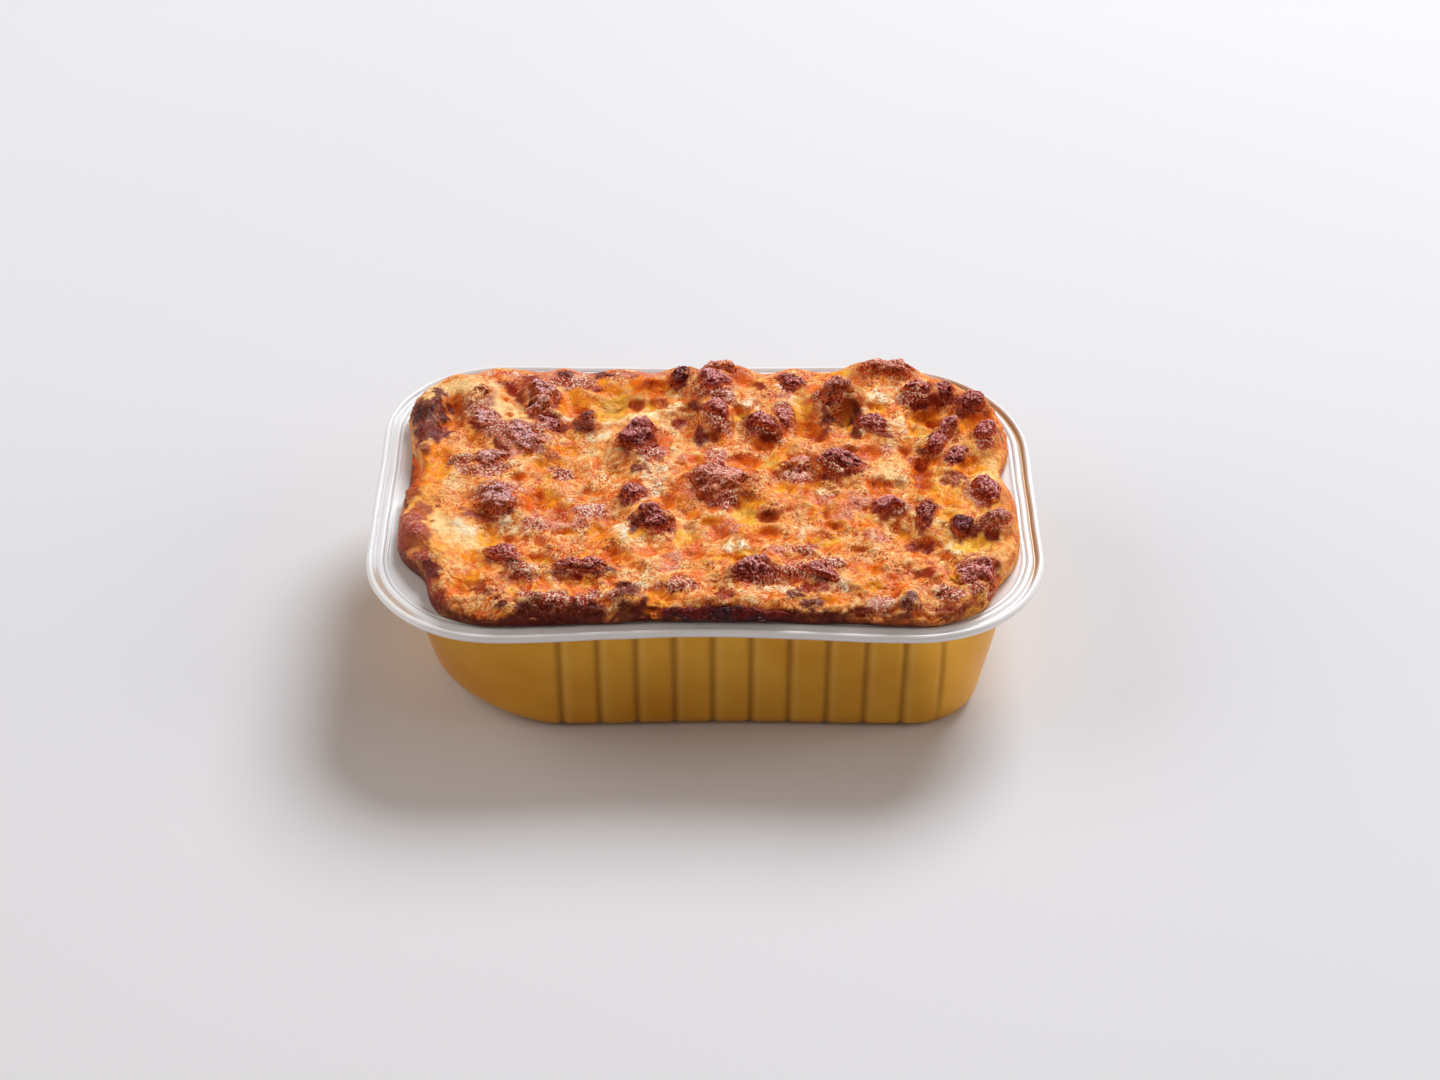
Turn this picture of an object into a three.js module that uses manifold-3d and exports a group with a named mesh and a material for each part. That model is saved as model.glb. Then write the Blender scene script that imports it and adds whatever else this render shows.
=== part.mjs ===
// A baked lasagna in its oblong foil tray: gold outside, white inside, with a rolled white rim.
// Millimetres, +Z up. The origin is the centre of the tray's flat base, on the table.
// +X runs along the tray's length and +Y away from the side that is seen first.
import * as THREE from "three";
import { mergeVertices } from "three/addons/utils/BufferGeometryUtils.js";
import Module from "manifold-3d";

const wasm = await Module();
wasm.setup();

// Driving dimensions of the tray
const RIM_LENGTH = 215;
const RIM_WIDTH = 147;
const RIM_TOP = 48.5;
const WALL_TOP = 45.5;
const FOIL = 0.8;
const BASE_THICKNESS = 1;
const PINCH_FRONT = 3;
const PINCH_FOOT = 1;
const PINCH_BACK = 0.8;
const CORNER_GROWTH = 1.6;
const GAP = 0.4;
const WELD = 1e-4;

// Half length, half width and corner radii of the rim, of the wall's top and of the base.
// The left corners are fuller than the right ones, as the foil was pressed.
const RIM = {
  a: RIM_LENGTH / 2,
  b: RIM_WIDTH / 2,
  corners: { backRight: 49, backLeft: 38, frontLeft: 43, frontRight: 42 },
};
const WALL_HEAD = {
  a: 97.5,
  b: 66,
  corners: { backRight: 41, backLeft: 36, frontLeft: 41, frontRight: 34 },
};
const WALL_FOOT = {
  a: 87.5,
  b: 60.5,
  corners: { backRight: 22, backLeft: 40, frontLeft: 40, frontRight: 22 },
};
const COVE = 4;
const COVE_LEFT = 10;
const OUTSIDE_LEVELS = [0, 0.8, 3.2, COVE_LEFT, WALL_TOP];
const INSIDE_LEVELS = [2.6, 6, 12, 34];

// Upright flutes pressed into the walls
const FLUTE_PITCH = 12;
const FLUTE_HALF_WIDTH = 1.6;
const FLUTE_DEPTH = 0.7;
const PANEL_SWELL = 0.23;
const FLUTES_LONG = { first: -45.5, count: 11 };
const FLUTES_END = { first: -24, count: 5 };

// The rim's section: how far in from the outer edge, and how high
const RIM_SECTION = [
  [6.6, 46.9],
  [2.7, 46.9],
  [2.2, 45.6],
  [0.6, 45.6],
  [0, 47],
  [0.7, 48.3],
  [1.5, RIM_TOP],
  [2.8, 47.7],
  [4.2, 48.4],
  [6.6, 47.8],
];

// Driving dimensions of the food, and how finely its top is netted
const FOOD_LEVEL = 6.2;
const FOOD_NET = { along: 39, deep: 25 };
const NECK_INSET = 2.2;
const LIP_INSET = 1.6;
const LIP_DROP = 0.3;

// Section of the food's side above the rim: how far in, and how high between the foot and the top
const SHOULDER_FOOT = 0.4;
const SHOULDER_SECTION = [
  { inward: 1.2, level: 0 },
  { inward: 0, level: 0.42 },
  { inward: 0.7, level: 0.72 },
  { inward: 2.7, level: 0.93 },
  { inward: 6, level: 1 },
];

const rad = THREE.MathUtils.degToRad;
const { lerp, clamp, smoothstep } = THREE.MathUtils;

// Steps of each side and corner of an outline, and how many of them a plain ring leaves out
const STEPS = 24;
const THINNED = 3;

// Outline of the tray at one level: a rounded oblong whose long sides are pinched in at the middle
function oblong({ a, b, corners, pinchFront = PINCH_FRONT, pinchBack = PINCH_BACK }) {
  const points = [];
  const arc = (cx, cy, radius, start) => {
    for (let i = 0; i <= STEPS; i++) {
      const angle = start + (Math.PI / 2) * (i / STEPS);
      points.push({ x: cx + radius * Math.cos(angle), y: cy + radius * Math.sin(angle), angle });
    }
  };
  const side = (from, to, angle, pinch) => {
    for (let i = 1; i < STEPS; i++) {
      const share = i / STEPS;
      const inward = pinch * Math.sin(Math.PI * share) ** 2;
      points.push({
        x: lerp(from[0], to[0], share) - inward * Math.cos(angle),
        y: lerp(from[1], to[1], share) - inward * Math.sin(angle),
        angle,
      });
    }
  };
  const { backRight: br, backLeft: bl, frontLeft: fl, frontRight: fr } = corners;
  arc(a - br, b - br, br, 0);
  side([a - br, b], [bl - a, b], Math.PI / 2, pinchBack);
  arc(bl - a, b - bl, bl, Math.PI / 2);
  side([-a, b - bl], [-a, fl - b], Math.PI, 0);
  arc(fl - a, fl - b, fl, Math.PI);
  side([fl - a, -b], [a - fr, -b], 1.5 * Math.PI, pinchFront);
  arc(a - fr, fr - b, fr, 1.5 * Math.PI);
  side([a, fr - b], [a, b - br], 2 * Math.PI, 0);
  return points;
}

// Moves every point of an outline in along its own normal
function inset(points, distance) {
  return points.map((p) => {
    const d = typeof distance === "function" ? distance(p) : distance;
    return { ...p, x: p.x - d * Math.cos(p.angle), y: p.y - d * Math.sin(p.angle) };
  });
}

// Outer face of the wall at a height: it flares from base to rim and rounds under at the base
function wallOutline(z) {
  const share = clamp(z / WALL_TOP, 0, 1);
  const corners = {};
  for (const name of Object.keys(WALL_HEAD.corners)) {
    corners[name] = lerp(WALL_FOOT.corners[name], WALL_HEAD.corners[name], share ** CORNER_GROWTH);
  }
  const outline = oblong({
    a: lerp(WALL_FOOT.a, WALL_HEAD.a, share),
    b: lerp(WALL_FOOT.b, WALL_HEAD.b, share),
    corners,
    pinchFront: lerp(PINCH_FOOT, PINCH_FRONT, share),
    pinchBack: PINCH_BACK,
  });
  return inset(outline, (p) => {
    const atLeftCorner = Math.cos(p.angle) < 0 ? Math.abs(Math.sin(2 * p.angle)) : 0;
    const cove = lerp(COVE, COVE_LEFT, atLeftCorner);
    return z < cove ? cove - Math.sqrt(cove ** 2 - (cove - z) ** 2) : 0;
  });
}

// An outline with its length round from the first point
function measured(points) {
  let total = 0;
  const s = points.map((p, i) => {
    if (i) total += Math.hypot(p.x - points[i - 1].x, p.y - points[i - 1].y);
    return total;
  });
  const first = points[0];
  const last = points[points.length - 1];
  total += Math.hypot(last.x - first.x, last.y - first.y);
  return { points, s, total };
}

// The point at a length round a measured outline
function pointAt({ points, s, total }, length) {
  const wanted = ((length % total) + total) % total;
  let i = s.length - 1;
  while (s[i] > wanted) i--;
  const a = points[i];
  const b = points[(i + 1) % points.length];
  const span = (i + 1 < s.length ? s[i + 1] : total) - s[i];
  const share = span > 0 ? (wanted - s[i]) / span : 0;
  const turn = Math.atan2(Math.sin(b.angle - a.angle), Math.cos(b.angle - a.angle));
  return {
    x: lerp(a.x, b.x, share),
    y: lerp(a.y, b.y, share),
    angle: a.angle + turn * share,
    back: lerp(a.back, b.back, share),
    s: wanted / total,
  };
}

// The length round at which an outline's side passes a value of x or y
function lengthAt(outline, axis, value, isOnSide) {
  const { points, s, total } = outline;
  for (let i = 0; i < points.length; i++) {
    const from = points[i][axis];
    const to = points[(i + 1) % points.length][axis];
    if (isOnSide(points[i]) && (from - value) * (to - value) <= 0 && from !== to) {
      return lerp(s[i], s[i + 1] ?? total, (value - from) / (to - from));
    }
  }
  throw new Error(`the outline has no ${axis} of ${value} there`);
}

// A plain ring: every third point of an outline, so that rings inset from one another stay parallel
function plainRing(points) {
  const { s, total } = measured(points);
  return points.map((p, i) => ({ ...p, s: s[i] / total })).filter((_, i) => i % THINNED === 0);
}

// Stations of the flutes along one side: each has an edge, a bottom, an edge and the panel's swelling
function fluteStations({ first, count }, direction) {
  const stations = [];
  for (let i = 0; i < count; i++) {
    const centre = first + i * FLUTE_PITCH;
    stations.push({ at: centre - FLUTE_HALF_WIDTH, push: 0 });
    stations.push({ at: centre, push: -FLUTE_DEPTH });
    stations.push({ at: centre + FLUTE_HALF_WIDTH, push: 0 });
    if (i + 1 < count) stations.push({ at: centre + FLUTE_PITCH / 2, push: PANEL_SWELL });
  }
  return direction < 0 ? stations.reverse() : stations;
}

const SIDES = [
  { axis: "x", isOn: (p) => p.y > 0, stations: fluteStations(FLUTES_LONG, -1) },
  { axis: "y", isOn: (p) => p.x < 0, stations: fluteStations(FLUTES_END, -1) },
  { axis: "x", isOn: (p) => p.y < 0, stations: fluteStations(FLUTES_LONG, 1) },
  { axis: "y", isOn: (p) => p.x > 0, stations: fluteStations(FLUTES_END, 1) },
];
const CORNER_POINTS = 7;

// Ring of the fluted wall at a height
function flutedRing(z) {
  const outline = measured(wallOutline(z));
  const ring = [];
  const lengths = SIDES.map(({ axis, isOn, stations }) =>
    stations.map(({ at }) => lengthAt(outline, axis, at, isOn)),
  );
  SIDES.forEach(({ stations }, n) => {
    stations.forEach(({ push }, i) => {
      const p = pointAt(outline, lengths[n][i]);
      ring.push({ ...p, x: p.x + push * Math.cos(p.angle), y: p.y + push * Math.sin(p.angle) });
    });
    const from = lengths[n][lengths[n].length - 1];
    let to = lengths[(n + 1) % SIDES.length][0];
    if (to < from) to += outline.total;
    for (let i = 1; i <= CORNER_POINTS; i++) {
      ring.push(pointAt(outline, lerp(from, to, i / (CORNER_POINTS + 1))));
    }
  });
  return ring;
}

// Rings of the fluted wall at several heights, all turned to start where the topmost starts its outline
function flutedRings(heights) {
  const rings = heights.map(flutedRing);
  const top = rings[rings.length - 1];
  const start = top.findIndex((p, i) => i > 0 && p.s < top[i - 1].s);
  return rings.map((ring) => [...ring.slice(start), ...ring.slice(0, start)]);
}

// Collects triangles and gives a three.js geometry
class Skin {
  constructor() {
    this.positions = [];
    this.triangles = [];
  }

  add(x, y, z) {
    this.positions.push(x, y, z);
    return this.positions.length / 3 - 1;
  }

  addRing(ring, z) {
    return ring.map((p) => ({ index: this.add(p.x, p.y, z ?? p.z), s: p.s }));
  }

  // Joins two rings point by point, facing out if the second lies above
  join(lower, upper) {
    lower.forEach((p, i) => {
      const next = (i + 1) % lower.length;
      this.triangles.push(p.index, lower[next].index, upper[i].index);
      this.triangles.push(lower[next].index, upper[next].index, upper[i].index);
    });
  }

  // Joins two rings that may differ in their number of points by their shares of length
  zip(lower, upper) {
    if (lower.length === upper.length) {
      this.join(lower, upper);
      return;
    }
    let i = 0;
    let j = 0;
    const sOf = (ring, k) => (k < ring.length ? ring[k].s : 1 + ring[0].s);
    while (i < lower.length || j < upper.length) {
      const a = lower[i % lower.length].index;
      const b = upper[j % upper.length].index;
      const stepLower = j >= upper.length || (i < lower.length && sOf(lower, i + 1) <= sOf(upper, j + 1));
      if (stepLower) {
        this.triangles.push(a, lower[(i + 1) % lower.length].index, b);
        i++;
      } else {
        this.triangles.push(a, upper[(j + 1) % upper.length].index, b);
        j++;
      }
    }
  }

  // Closes a ring with a fan about a middle point
  cap(ring, z, facing, [x, y] = [0, 0]) {
    const middle = this.add(x, y, z);
    ring.forEach((p, i) => {
      const next = ring[(i + 1) % ring.length].index;
      if (facing > 0) this.triangles.push(p.index, next, middle);
      else this.triangles.push(next, p.index, middle);
    });
  }

  geometry() {
    const geometry = new THREE.BufferGeometry();
    geometry.setAttribute("position", new THREE.Float32BufferAttribute(this.positions, 3));
    geometry.setIndex(this.triangles);
    return geometry;
  }
}

// The tray: from the middle of its base out, up the fluted wall, round the rim and down the inside
function trayGeometry() {
  const skin = new Skin();
  const outside = flutedRings(OUTSIDE_LEVELS).map((ring, i) => skin.addRing(ring, OUTSIDE_LEVELS[i]));
  skin.cap(outside[0], 0, -1);
  const rim = RIM_SECTION.map(([inward, z]) => skin.addRing(plainRing(inset(oblong(RIM), inward)), z));
  const inside = [BASE_THICKNESS, ...INSIDE_LEVELS, WALL_TOP].reverse().map((z) =>
    skin.addRing(plainRing(inset(wallOutline(z), FOIL + FLUTE_DEPTH)), z),
  );
  const all = [...outside, ...rim, ...inside];
  for (let i = 0; i + 1 < all.length; i++) skin.zip(all[i], all[i + 1]);
  skin.cap(inside[inside.length - 1], BASE_THICKNESS, 1);
  return skin.geometry();
}

// Soft round hill or hollow about a place, with a turn in degrees
function hill(x, y, { at, half, turn = 0 }) {
  const dx = x - at[0];
  const dy = y - at[1];
  const c = Math.cos(rad(turn));
  const s = Math.sin(rad(turn));
  const u = (dx * c + dy * s) / half[0];
  const v = (dy * c - dx * s) / half[1];
  return Math.exp(-(u * u + v * v));
}

// Where the food stands back from the tray's rim, and by how much
const STANDS_BACK = [
  { at: [-104, 5], half: [16, 42], by: 3.5 },
  { at: [-92, -50], half: [20, 16], by: 9 },
  { at: [101, 5], half: [9, 8], by: 6 },
  { at: [98, -52], half: [14, 14], by: 3 },
  { at: [48, -68], half: [7, 6], by: 2.5 },
];

// Ridges, rises and hollows of the baked top: place, half sizes, turn and height
const RELIEF = [
  { at: [-92, 10], half: [9, 40], by: 3.2 },
  { at: [-86, -42], half: [10, 22], turn: 30, by: 2.6 },
  { at: [-92, 36], half: [8, 14], by: 2 },
  { at: [-85, 36], half: [3.5, 9], turn: 20, by: -4.5 },
  { at: [-71, 45], half: [8, 22], turn: 50, by: 3.6 },
  { at: [-61, 40], half: [4, 14], turn: 38, by: -4 },
  { at: [-64, 20], half: [17, 7], turn: -42, by: 2.4 },
  { at: [-44, 45], half: [8, 9], by: -3.2 },
  { at: [-28, 43], half: [8, 10], by: -4.2 },
  { at: [-16, 53], half: [13, 6], by: 2.4 },
  { at: [-24, 33], half: [16, 4], turn: 24, by: 2 },
  { at: [-6, 32], half: [4, 13], by: -3.6 },
  { at: [3, 44], half: [10, 15], by: 3.4 },
  { at: [34, 36], half: [7, 10], by: -3.4 },
  { at: [45, 43], half: [10, 8], by: 3.2 },
  { at: [46, 32], half: [4, 5], by: -3 },
  { at: [61, 60], half: [12, 7], by: 1.6 },
  { at: [62, 36], half: [12, 8], turn: -40, by: 1.8 },
  { at: [76, 32], half: [8, 6], by: -3.4 },
  { at: [80, 24], half: [4, 17], turn: -22, by: 1.2 },
  { at: [92, 34], half: [8, 16], by: 1.8 },
  { at: [72, 10], half: [9, 5], turn: -20, by: -2.4 },
  { at: [94, -24], half: [8, 24], by: 2.4 },
  { at: [88, -50], half: [14, 10], turn: 35, by: 1.6 },
  { at: [67, -34], half: [8, 5], by: -3.2 },
  { at: [22, -12], half: [9, 8], by: 3 },
  { at: [-2, -10], half: [13, 8], by: -2.6 },
  { at: [40, 0], half: [16, 8], by: 1.8 },
  { at: [-66, -30], half: [7, 8], turn: -40, by: -3 },
  { at: [-49, -44], half: [9, 5], by: -2.8 },
  { at: [-66, -8], half: [10, 12], by: 2 },
  { at: [-46, -52], half: [24, 4], turn: 4, by: 2.2 },
  { at: [-48, -62], half: [15, 6], by: 2.2 },
  { at: [-8, -30], half: [8, 6], by: -2.2 },
  { at: [18, -53], half: [18, 4], turn: 8, by: -1.8 },
  { at: [4, -63], half: [22, 4], by: 1.4 },
  { at: [56, -58], half: [10, 6], by: 1.4 },
  { at: [36, -26], half: [8, 14], turn: 30, by: -1.4 },
  { at: [-80, 10], half: [4, 4], by: 2.4 },
  { at: [-23, -63], half: [8, 5], by: 2.2 },
  { at: [-5, -54], half: [5.4, 4], by: 2.6 },
  { at: [62, -60], half: [4, 5], by: 2 },
];

const sumOf = (list, x, y) => list.reduce((sum, item) => sum + item.by * hill(x, y, item), 0);

// Uneven surface made of a few crossing waves. Each wave has its pitch along x and y and its start.
const RIPPLES = [
  { by: 0.9, first: [0.31, 0, 1.3], second: [0, 0.27, 0.4] },
  { by: 0.4, first: [0.33, -0.26, 2.1], second: [0, 0, Math.PI / 2] },
  { by: 0.5, first: [0.21, 0.39, 0.7], second: [0.29, -0.2, Math.PI / 2] },
];
const wave = ([alongX, alongY, start], x, y) => Math.sin(alongX * x + alongY * y + start);
const rippleOf = ({ by, first, second }, x, y) => by * wave(first, x, y) * wave(second, x, y);
const ripple = (x, y) => RIPPLES.reduce((sum, item) => sum + rippleOf(item, x, y), 0);

// Height of the food's top over a place
const topHeight = (x, y) => RIM_TOP + FOOD_LEVEL + sumOf(RELIEF, x, y) + ripple(x, y);

// Outline of the food where it is widest, just above the rim
const FOOD_REACH = { front: 4.2, other: 7.4 };
const FRONT_FACING = { from: 0.55, to: 0.98 };
const RIM_INSIDE = 7.2;
const backOf = (p) => {
  const front = smoothstep(-Math.sin(p.angle), FRONT_FACING.from, FRONT_FACING.to);
  return lerp(FOOD_REACH.other, FOOD_REACH.front, front) + sumOf(STANDS_BACK, p.x, p.y);
};
const foodOutline = inset(
  oblong(RIM).map((p) => ({ ...p, back: backOf(p) })),
  (p) => p.back,
);

// The food: up from the tray's inside, out over the rim's edge, round the shoulder and over the top
function foodSolid() {
  const { along, deep } = FOOD_NET;
  const count = 2 * (along + deep);
  const skin = new Skin();
  const inWall = FOIL + FLUTE_DEPTH + GAP;
  const underside = BASE_THICKNESS + GAP;
  const low = [underside, ...INSIDE_LEVELS].map((z) => {
    const inward = inWall + (z < COVE_LEFT ? GAP : 0) + (z === underside ? BASE_THICKNESS : 0);
    return skin.addRing(plainRing(inset(wallOutline(z), inward)), z);
  });
  skin.cap(low[0], underside, -1);

  // Points round the food's own outline: the back, left, front and right sides of a net of squares
  const wide = measured(foodOutline);
  const cornerLength = (quarter) => wide.s[STEPS / 2 + 2 * STEPS * quarter];
  const netSides = [
    { from: cornerLength(0), to: cornerLength(1), steps: along },
    { from: cornerLength(1), to: cornerLength(2), steps: deep },
    { from: cornerLength(2), to: cornerLength(3), steps: along },
    { from: cornerLength(3), to: wide.total + cornerLength(0), steps: deep },
  ];
  const lengths = netSides.flatMap(({ from, to, steps }) =>
    Array.from({ length: steps }, (_, i) => lerp(from, to, i / steps)),
  );
  const start = lengths.findIndex((length) => length >= wide.total);
  const edge = [...lengths.slice(start), ...lengths.slice(0, start)].map((length) => pointAt(wide, length));
  const wall = measured(inset(wallOutline(WALL_TOP), inWall + GAP));
  const moved = (p, inward) => inset([p], inward)[0];
  const neck = edge.map((p) => {
    const q = pointAt(wall, p.s * wall.total);
    const own = moved(p, NECK_INSET);
    const reach = (v) => v.x * Math.cos(p.angle) + v.y * Math.sin(p.angle);
    return { ...(reach(own) < reach(q) ? own : q), s: p.s, z: WALL_TOP };
  });
  const lipInset = (p) => Math.max(LIP_INSET, RIM_INSIDE - p.back);
  const lip = edge.map((p) => ({ ...moved(p, lipInset(p)), z: RIM_TOP - LIP_DROP }));
  const shoulders = SHOULDER_SECTION.map(({ inward, level }) =>
    edge.map((p) => {
      const q = moved(p, inward);
      return { ...q, z: lerp(RIM_TOP + SHOULDER_FOOT, topHeight(q.x, q.y), level) };
    }),
  );
  const rings = [...low, ...[neck, lip, ...shoulders].map((ring) => skin.addRing(ring))];
  for (let i = 0; i + 1 < rings.length; i++) skin.zip(rings[i], rings[i + 1]);

  // Top: a net of squares spread evenly between the four sides of the last ring
  const last = shoulders[shoulders.length - 1];
  const outer = rings[rings.length - 1];
  const onRing = (k) => (k - start + 2 * count) % count;
  const front = (i) => onRing(along + deep + i);
  const back = (i) => onRing(along - i);
  const left = (j) => onRing(along + deep - j);
  const right = (j) => onRing(2 * along + deep + j);
  const spread = (axis, i, j) => {
    const s = i / along;
    const t = j / deep;
    const at = (k) => last[k][axis];
    const ends = lerp(lerp(at(front(0)), at(front(along)), s), lerp(at(back(0)), at(back(along)), s), t);
    return lerp(at(front(i)), at(back(i)), t) + lerp(at(left(j)), at(right(j)), s) - ends;
  };
  const nodeOf = (i, j) => {
    if (j === deep) return outer[back(i)].index;
    if (j === 0) return outer[front(i)].index;
    if (i === 0) return outer[left(j)].index;
    if (i === along) return outer[right(j)].index;
    const x = spread("x", i, j);
    const y = spread("y", i, j);
    return skin.add(x, y, topHeight(x, y));
  };
  const column = (i) => Array.from({ length: deep + 1 }, (_, j) => nodeOf(i, j));
  const grid = Array.from({ length: along + 1 }, (_, i) => column(i));
  for (let i = 0; i < along; i++) {
    for (let j = 0; j < deep; j++) {
      const [a, b, c, d] = [grid[i][j], grid[i + 1][j], grid[i + 1][j + 1], grid[i][j + 1]];
      skin.triangles.push(...((i + j) % 2 ? [a, b, c, a, c, d] : [a, b, d, b, c, d]));
    }
  }
  return solidOf(skin.geometry());
}

// Three.js geometry to solid and back
function solidOf(geometry) {
  const bare = geometry.clone();
  bare.deleteAttribute("normal");
  bare.deleteAttribute("uv");
  const merged = mergeVertices(bare, WELD);
  return new wasm.Manifold(
    new wasm.Mesh({
      numProp: 3,
      vertProperties: new Float32Array(merged.attributes.position.array),
      triVerts: new Uint32Array(merged.index.array),
    }),
  );
}

function geometryOf(solid) {
  const mesh = solid.getMesh();
  const geometry = new THREE.BufferGeometry();
  geometry.setAttribute("position", new THREE.Float32BufferAttribute(mesh.vertProperties, 3));
  geometry.setIndex(new THREE.Uint32BufferAttribute(mesh.triVerts, 1));
  return geometry;
}

const largestOf = (solid) => solid.decompose().sort((a, b) => b.volume() - a.volume())[0];

// Crumbles of browned mince on the top: place, length and width, turn, and how far each stands up
const CRUMBLES = [
  { at: [-76, 39.5], size: [9, 9], turn: 20, rise: 3.3 },
  { at: [-54, 46], size: [10, 9], turn: 30, rise: 5.2 },
  { at: [-54.5, 36.5], size: [8, 8.5], turn: 20, rise: 4.8 },
  { at: [-51.5, 27.5], size: [10, 7.5], turn: 0, rise: 3.7 },
  { at: [-71.5, 28], size: [13, 8], turn: -30, rise: 3.5 },
  { at: [-59.5, 18], size: [16, 9.5], turn: -45, rise: 3.9 },
  { at: [-70, 7.5], size: [12, 9], turn: 10, rise: 3.7 },
  { at: [-66, -15.5], size: [12, 13], turn: 20, rise: 4.4 },
  { at: [-62.5, -43], size: [13, 8], turn: -35, rise: 4.4 },
  { at: [-38.5, -49.5], size: [19, 6.5], turn: 4, rise: 3.9 },
  { at: [-16, -24], size: [13, 9], turn: -15, rise: 5.1 },
  { at: [-21.5, 17], size: [12.5, 15], turn: -20, rise: 8.2 },
  { at: [-8.5, 53], size: [8, 8], turn: 30, rise: 5 },
  { at: [3.5, 58], size: [14, 9], turn: 8, rise: 4.6 },
  { at: [3, 46], size: [12, 10.5], turn: 0, rise: 5.4 },
  { at: [4, 31.5], size: [12, 7.5], turn: -60, rise: 5.1 },
  { at: [18.5, 26.5], size: [14, 6.5], turn: -35, rise: 5 },
  { at: [44, 42], size: [13.5, 10], turn: -4, rise: 6 },
  { at: [55.5, 27], size: [13, 7], turn: -45, rise: 4.4 },
  { at: [61, 58], size: [16, 9], turn: -8, rise: 4.8 },
  { at: [71, 45], size: [9, 9.5], turn: 0, rise: 5.3 },
  { at: [79.5, 46], size: [8.5, 8.5], turn: 0, rise: 4.8 },
  { at: [88.5, 37], size: [10.5, 9], turn: -10, rise: 4.8 },
  { at: [92.5, 20.5], size: [8.5, 10], turn: -20, rise: 3.9 },
  { at: [4.5, -4], size: [22, 15], turn: -15, rise: 5.9 },
  { at: [31.5, 4], size: [11.5, 8], turn: 0, rise: 4.4 },
  { at: [45, 4], size: [15, 10], turn: -10, rise: 5.1 },
  { at: [58, -17.5], size: [10.5, 9], turn: 0, rise: 4.4 },
  { at: [71, -20.5], size: [7.5, 13], turn: -10, rise: 4.2 },
  { at: [81.5, -27], size: [8.5, 8.5], turn: 30, rise: 4.6 },
  { at: [90, -11], size: [13, 8], turn: -55, rise: 3.8 },
  { at: [91.5, -27.5], size: [9.5, 10], turn: 0, rise: 3.6 },
  { at: [14.5, -49.5], size: [12, 9.5], turn: 25, rise: 4.4 },
  { at: [36, -50.5], size: [12, 7.5], turn: -20, rise: 3.9 },
  { at: [86, -51.5], size: [15, 10], turn: 25, rise: 3.5 },
  { at: [-39.5, 30.5], size: [7.5, 7.5], turn: 0, rise: 3.8 },
  { at: [-23, -10.5], size: [8.5, 9], turn: 0, rise: 4.2 },
  { at: [26.5, 32.5], size: [6.5, 13], turn: -6, rise: 4.2 },
  { at: [29, 53.5], size: [9.5, 7.5], turn: -30, rise: 3.6 },
  { at: [78.5, 20.5], size: [21, 6], turn: 62, rise: 3.8 },
  { at: [81.5, 10.5], size: [12, 7], turn: 55, rise: 3.6 },
];

// Section of a crumble above the surface: level as a share of its rise, reach as a share of its half size
const CRUMBLE_SINK = 2;
const CRUMBLE_MARGIN = 0.5;
const CRUMBLE_SECTION = [
  { level: 0.3, reach: 1.04 },
  { level: 0.66, reach: 0.9 },
  { level: 0.92, reach: 0.5 },
];
const CRUMBLE_LOBES = [
  { lobes: 2, by: 0.12, start: 1 },
  { lobes: 3, by: 0.09, start: 2.3 },
];
const CRUMBLE_CRAG = { lobes: 3, by: 0.09 };
const CRUMBLE_SIDES = { small: 8, large: 11 };
const LARGE_CRUMBLE = 14;
const WELL_HEADROOM = 6;

// Ring of a crumble's craggy outline at one reach
function crumbleRing({ at, size, turn }, number, sides, reach, margin) {
  return Array.from({ length: sides }, (_, k) => {
    const share = k / sides;
    const angle = 2 * Math.PI * share;
    const bulges = CRUMBLE_LOBES.map(({ lobes, by, start }) => by * Math.sin(lobes * angle + start * number));
    const uneven = bulges.reduce((sum, bulge) => sum + bulge, 1);
    const along = (size[0] / 2) * reach * uneven * Math.cos(angle);
    const across = (size[1] / 2) * reach * uneven * Math.sin(angle);
    const grown = 1 + margin / Math.hypot(along, across);
    const c = Math.cos(rad(turn));
    const d = Math.sin(rad(turn));
    return {
      x: at[0] + grown * (along * c - across * d),
      y: at[1] + grown * (along * d + across * c),
      s: share,
    };
  });
}

// One crumble: a craggy lump on a foot sunk in the crust. Its bed is an upright well, wider by the margin.
function crumbleSolid(crumble, number, asBed) {
  const { at, size, rise } = crumble;
  const sides = CRUMBLE_SIDES[Math.max(...size) > LARGE_CRUMBLE ? "large" : "small"];
  const surface = topHeight(at[0], at[1]);
  const skin = new Skin();
  const ringAt = (reach, z) => {
    const ring = crumbleRing(crumble, number, sides, reach, asBed ? CRUMBLE_MARGIN : 0);
    const crag = reach < 1 ? CRUMBLE_CRAG.by * rise : 0;
    return skin.addRing(
      ring.map((p) => ({ ...p, z: z + crag * Math.sin(2 * Math.PI * CRUMBLE_CRAG.lobes * p.s + number) })),
    );
  };
  const foot = surface - CRUMBLE_SINK - (asBed ? GAP : 0);
  const top = surface + rise + (asBed ? WELL_HEADROOM : 0);
  const rings = [ringAt(asBed ? CRUMBLE_SECTION[0].reach : 1, foot)];
  if (asBed) rings.push(ringAt(CRUMBLE_SECTION[0].reach, top));
  else CRUMBLE_SECTION.forEach(({ level, reach }) => rings.push(ringAt(reach, surface + level * rise)));
  for (let n = 0; n + 1 < rings.length; n++) skin.zip(rings[n], rings[n + 1]);
  skin.cap(rings[0], foot, -1, at);
  skin.cap(rings[rings.length - 1], top, 1, at);
  return solidOf(skin.geometry());
}

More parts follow.
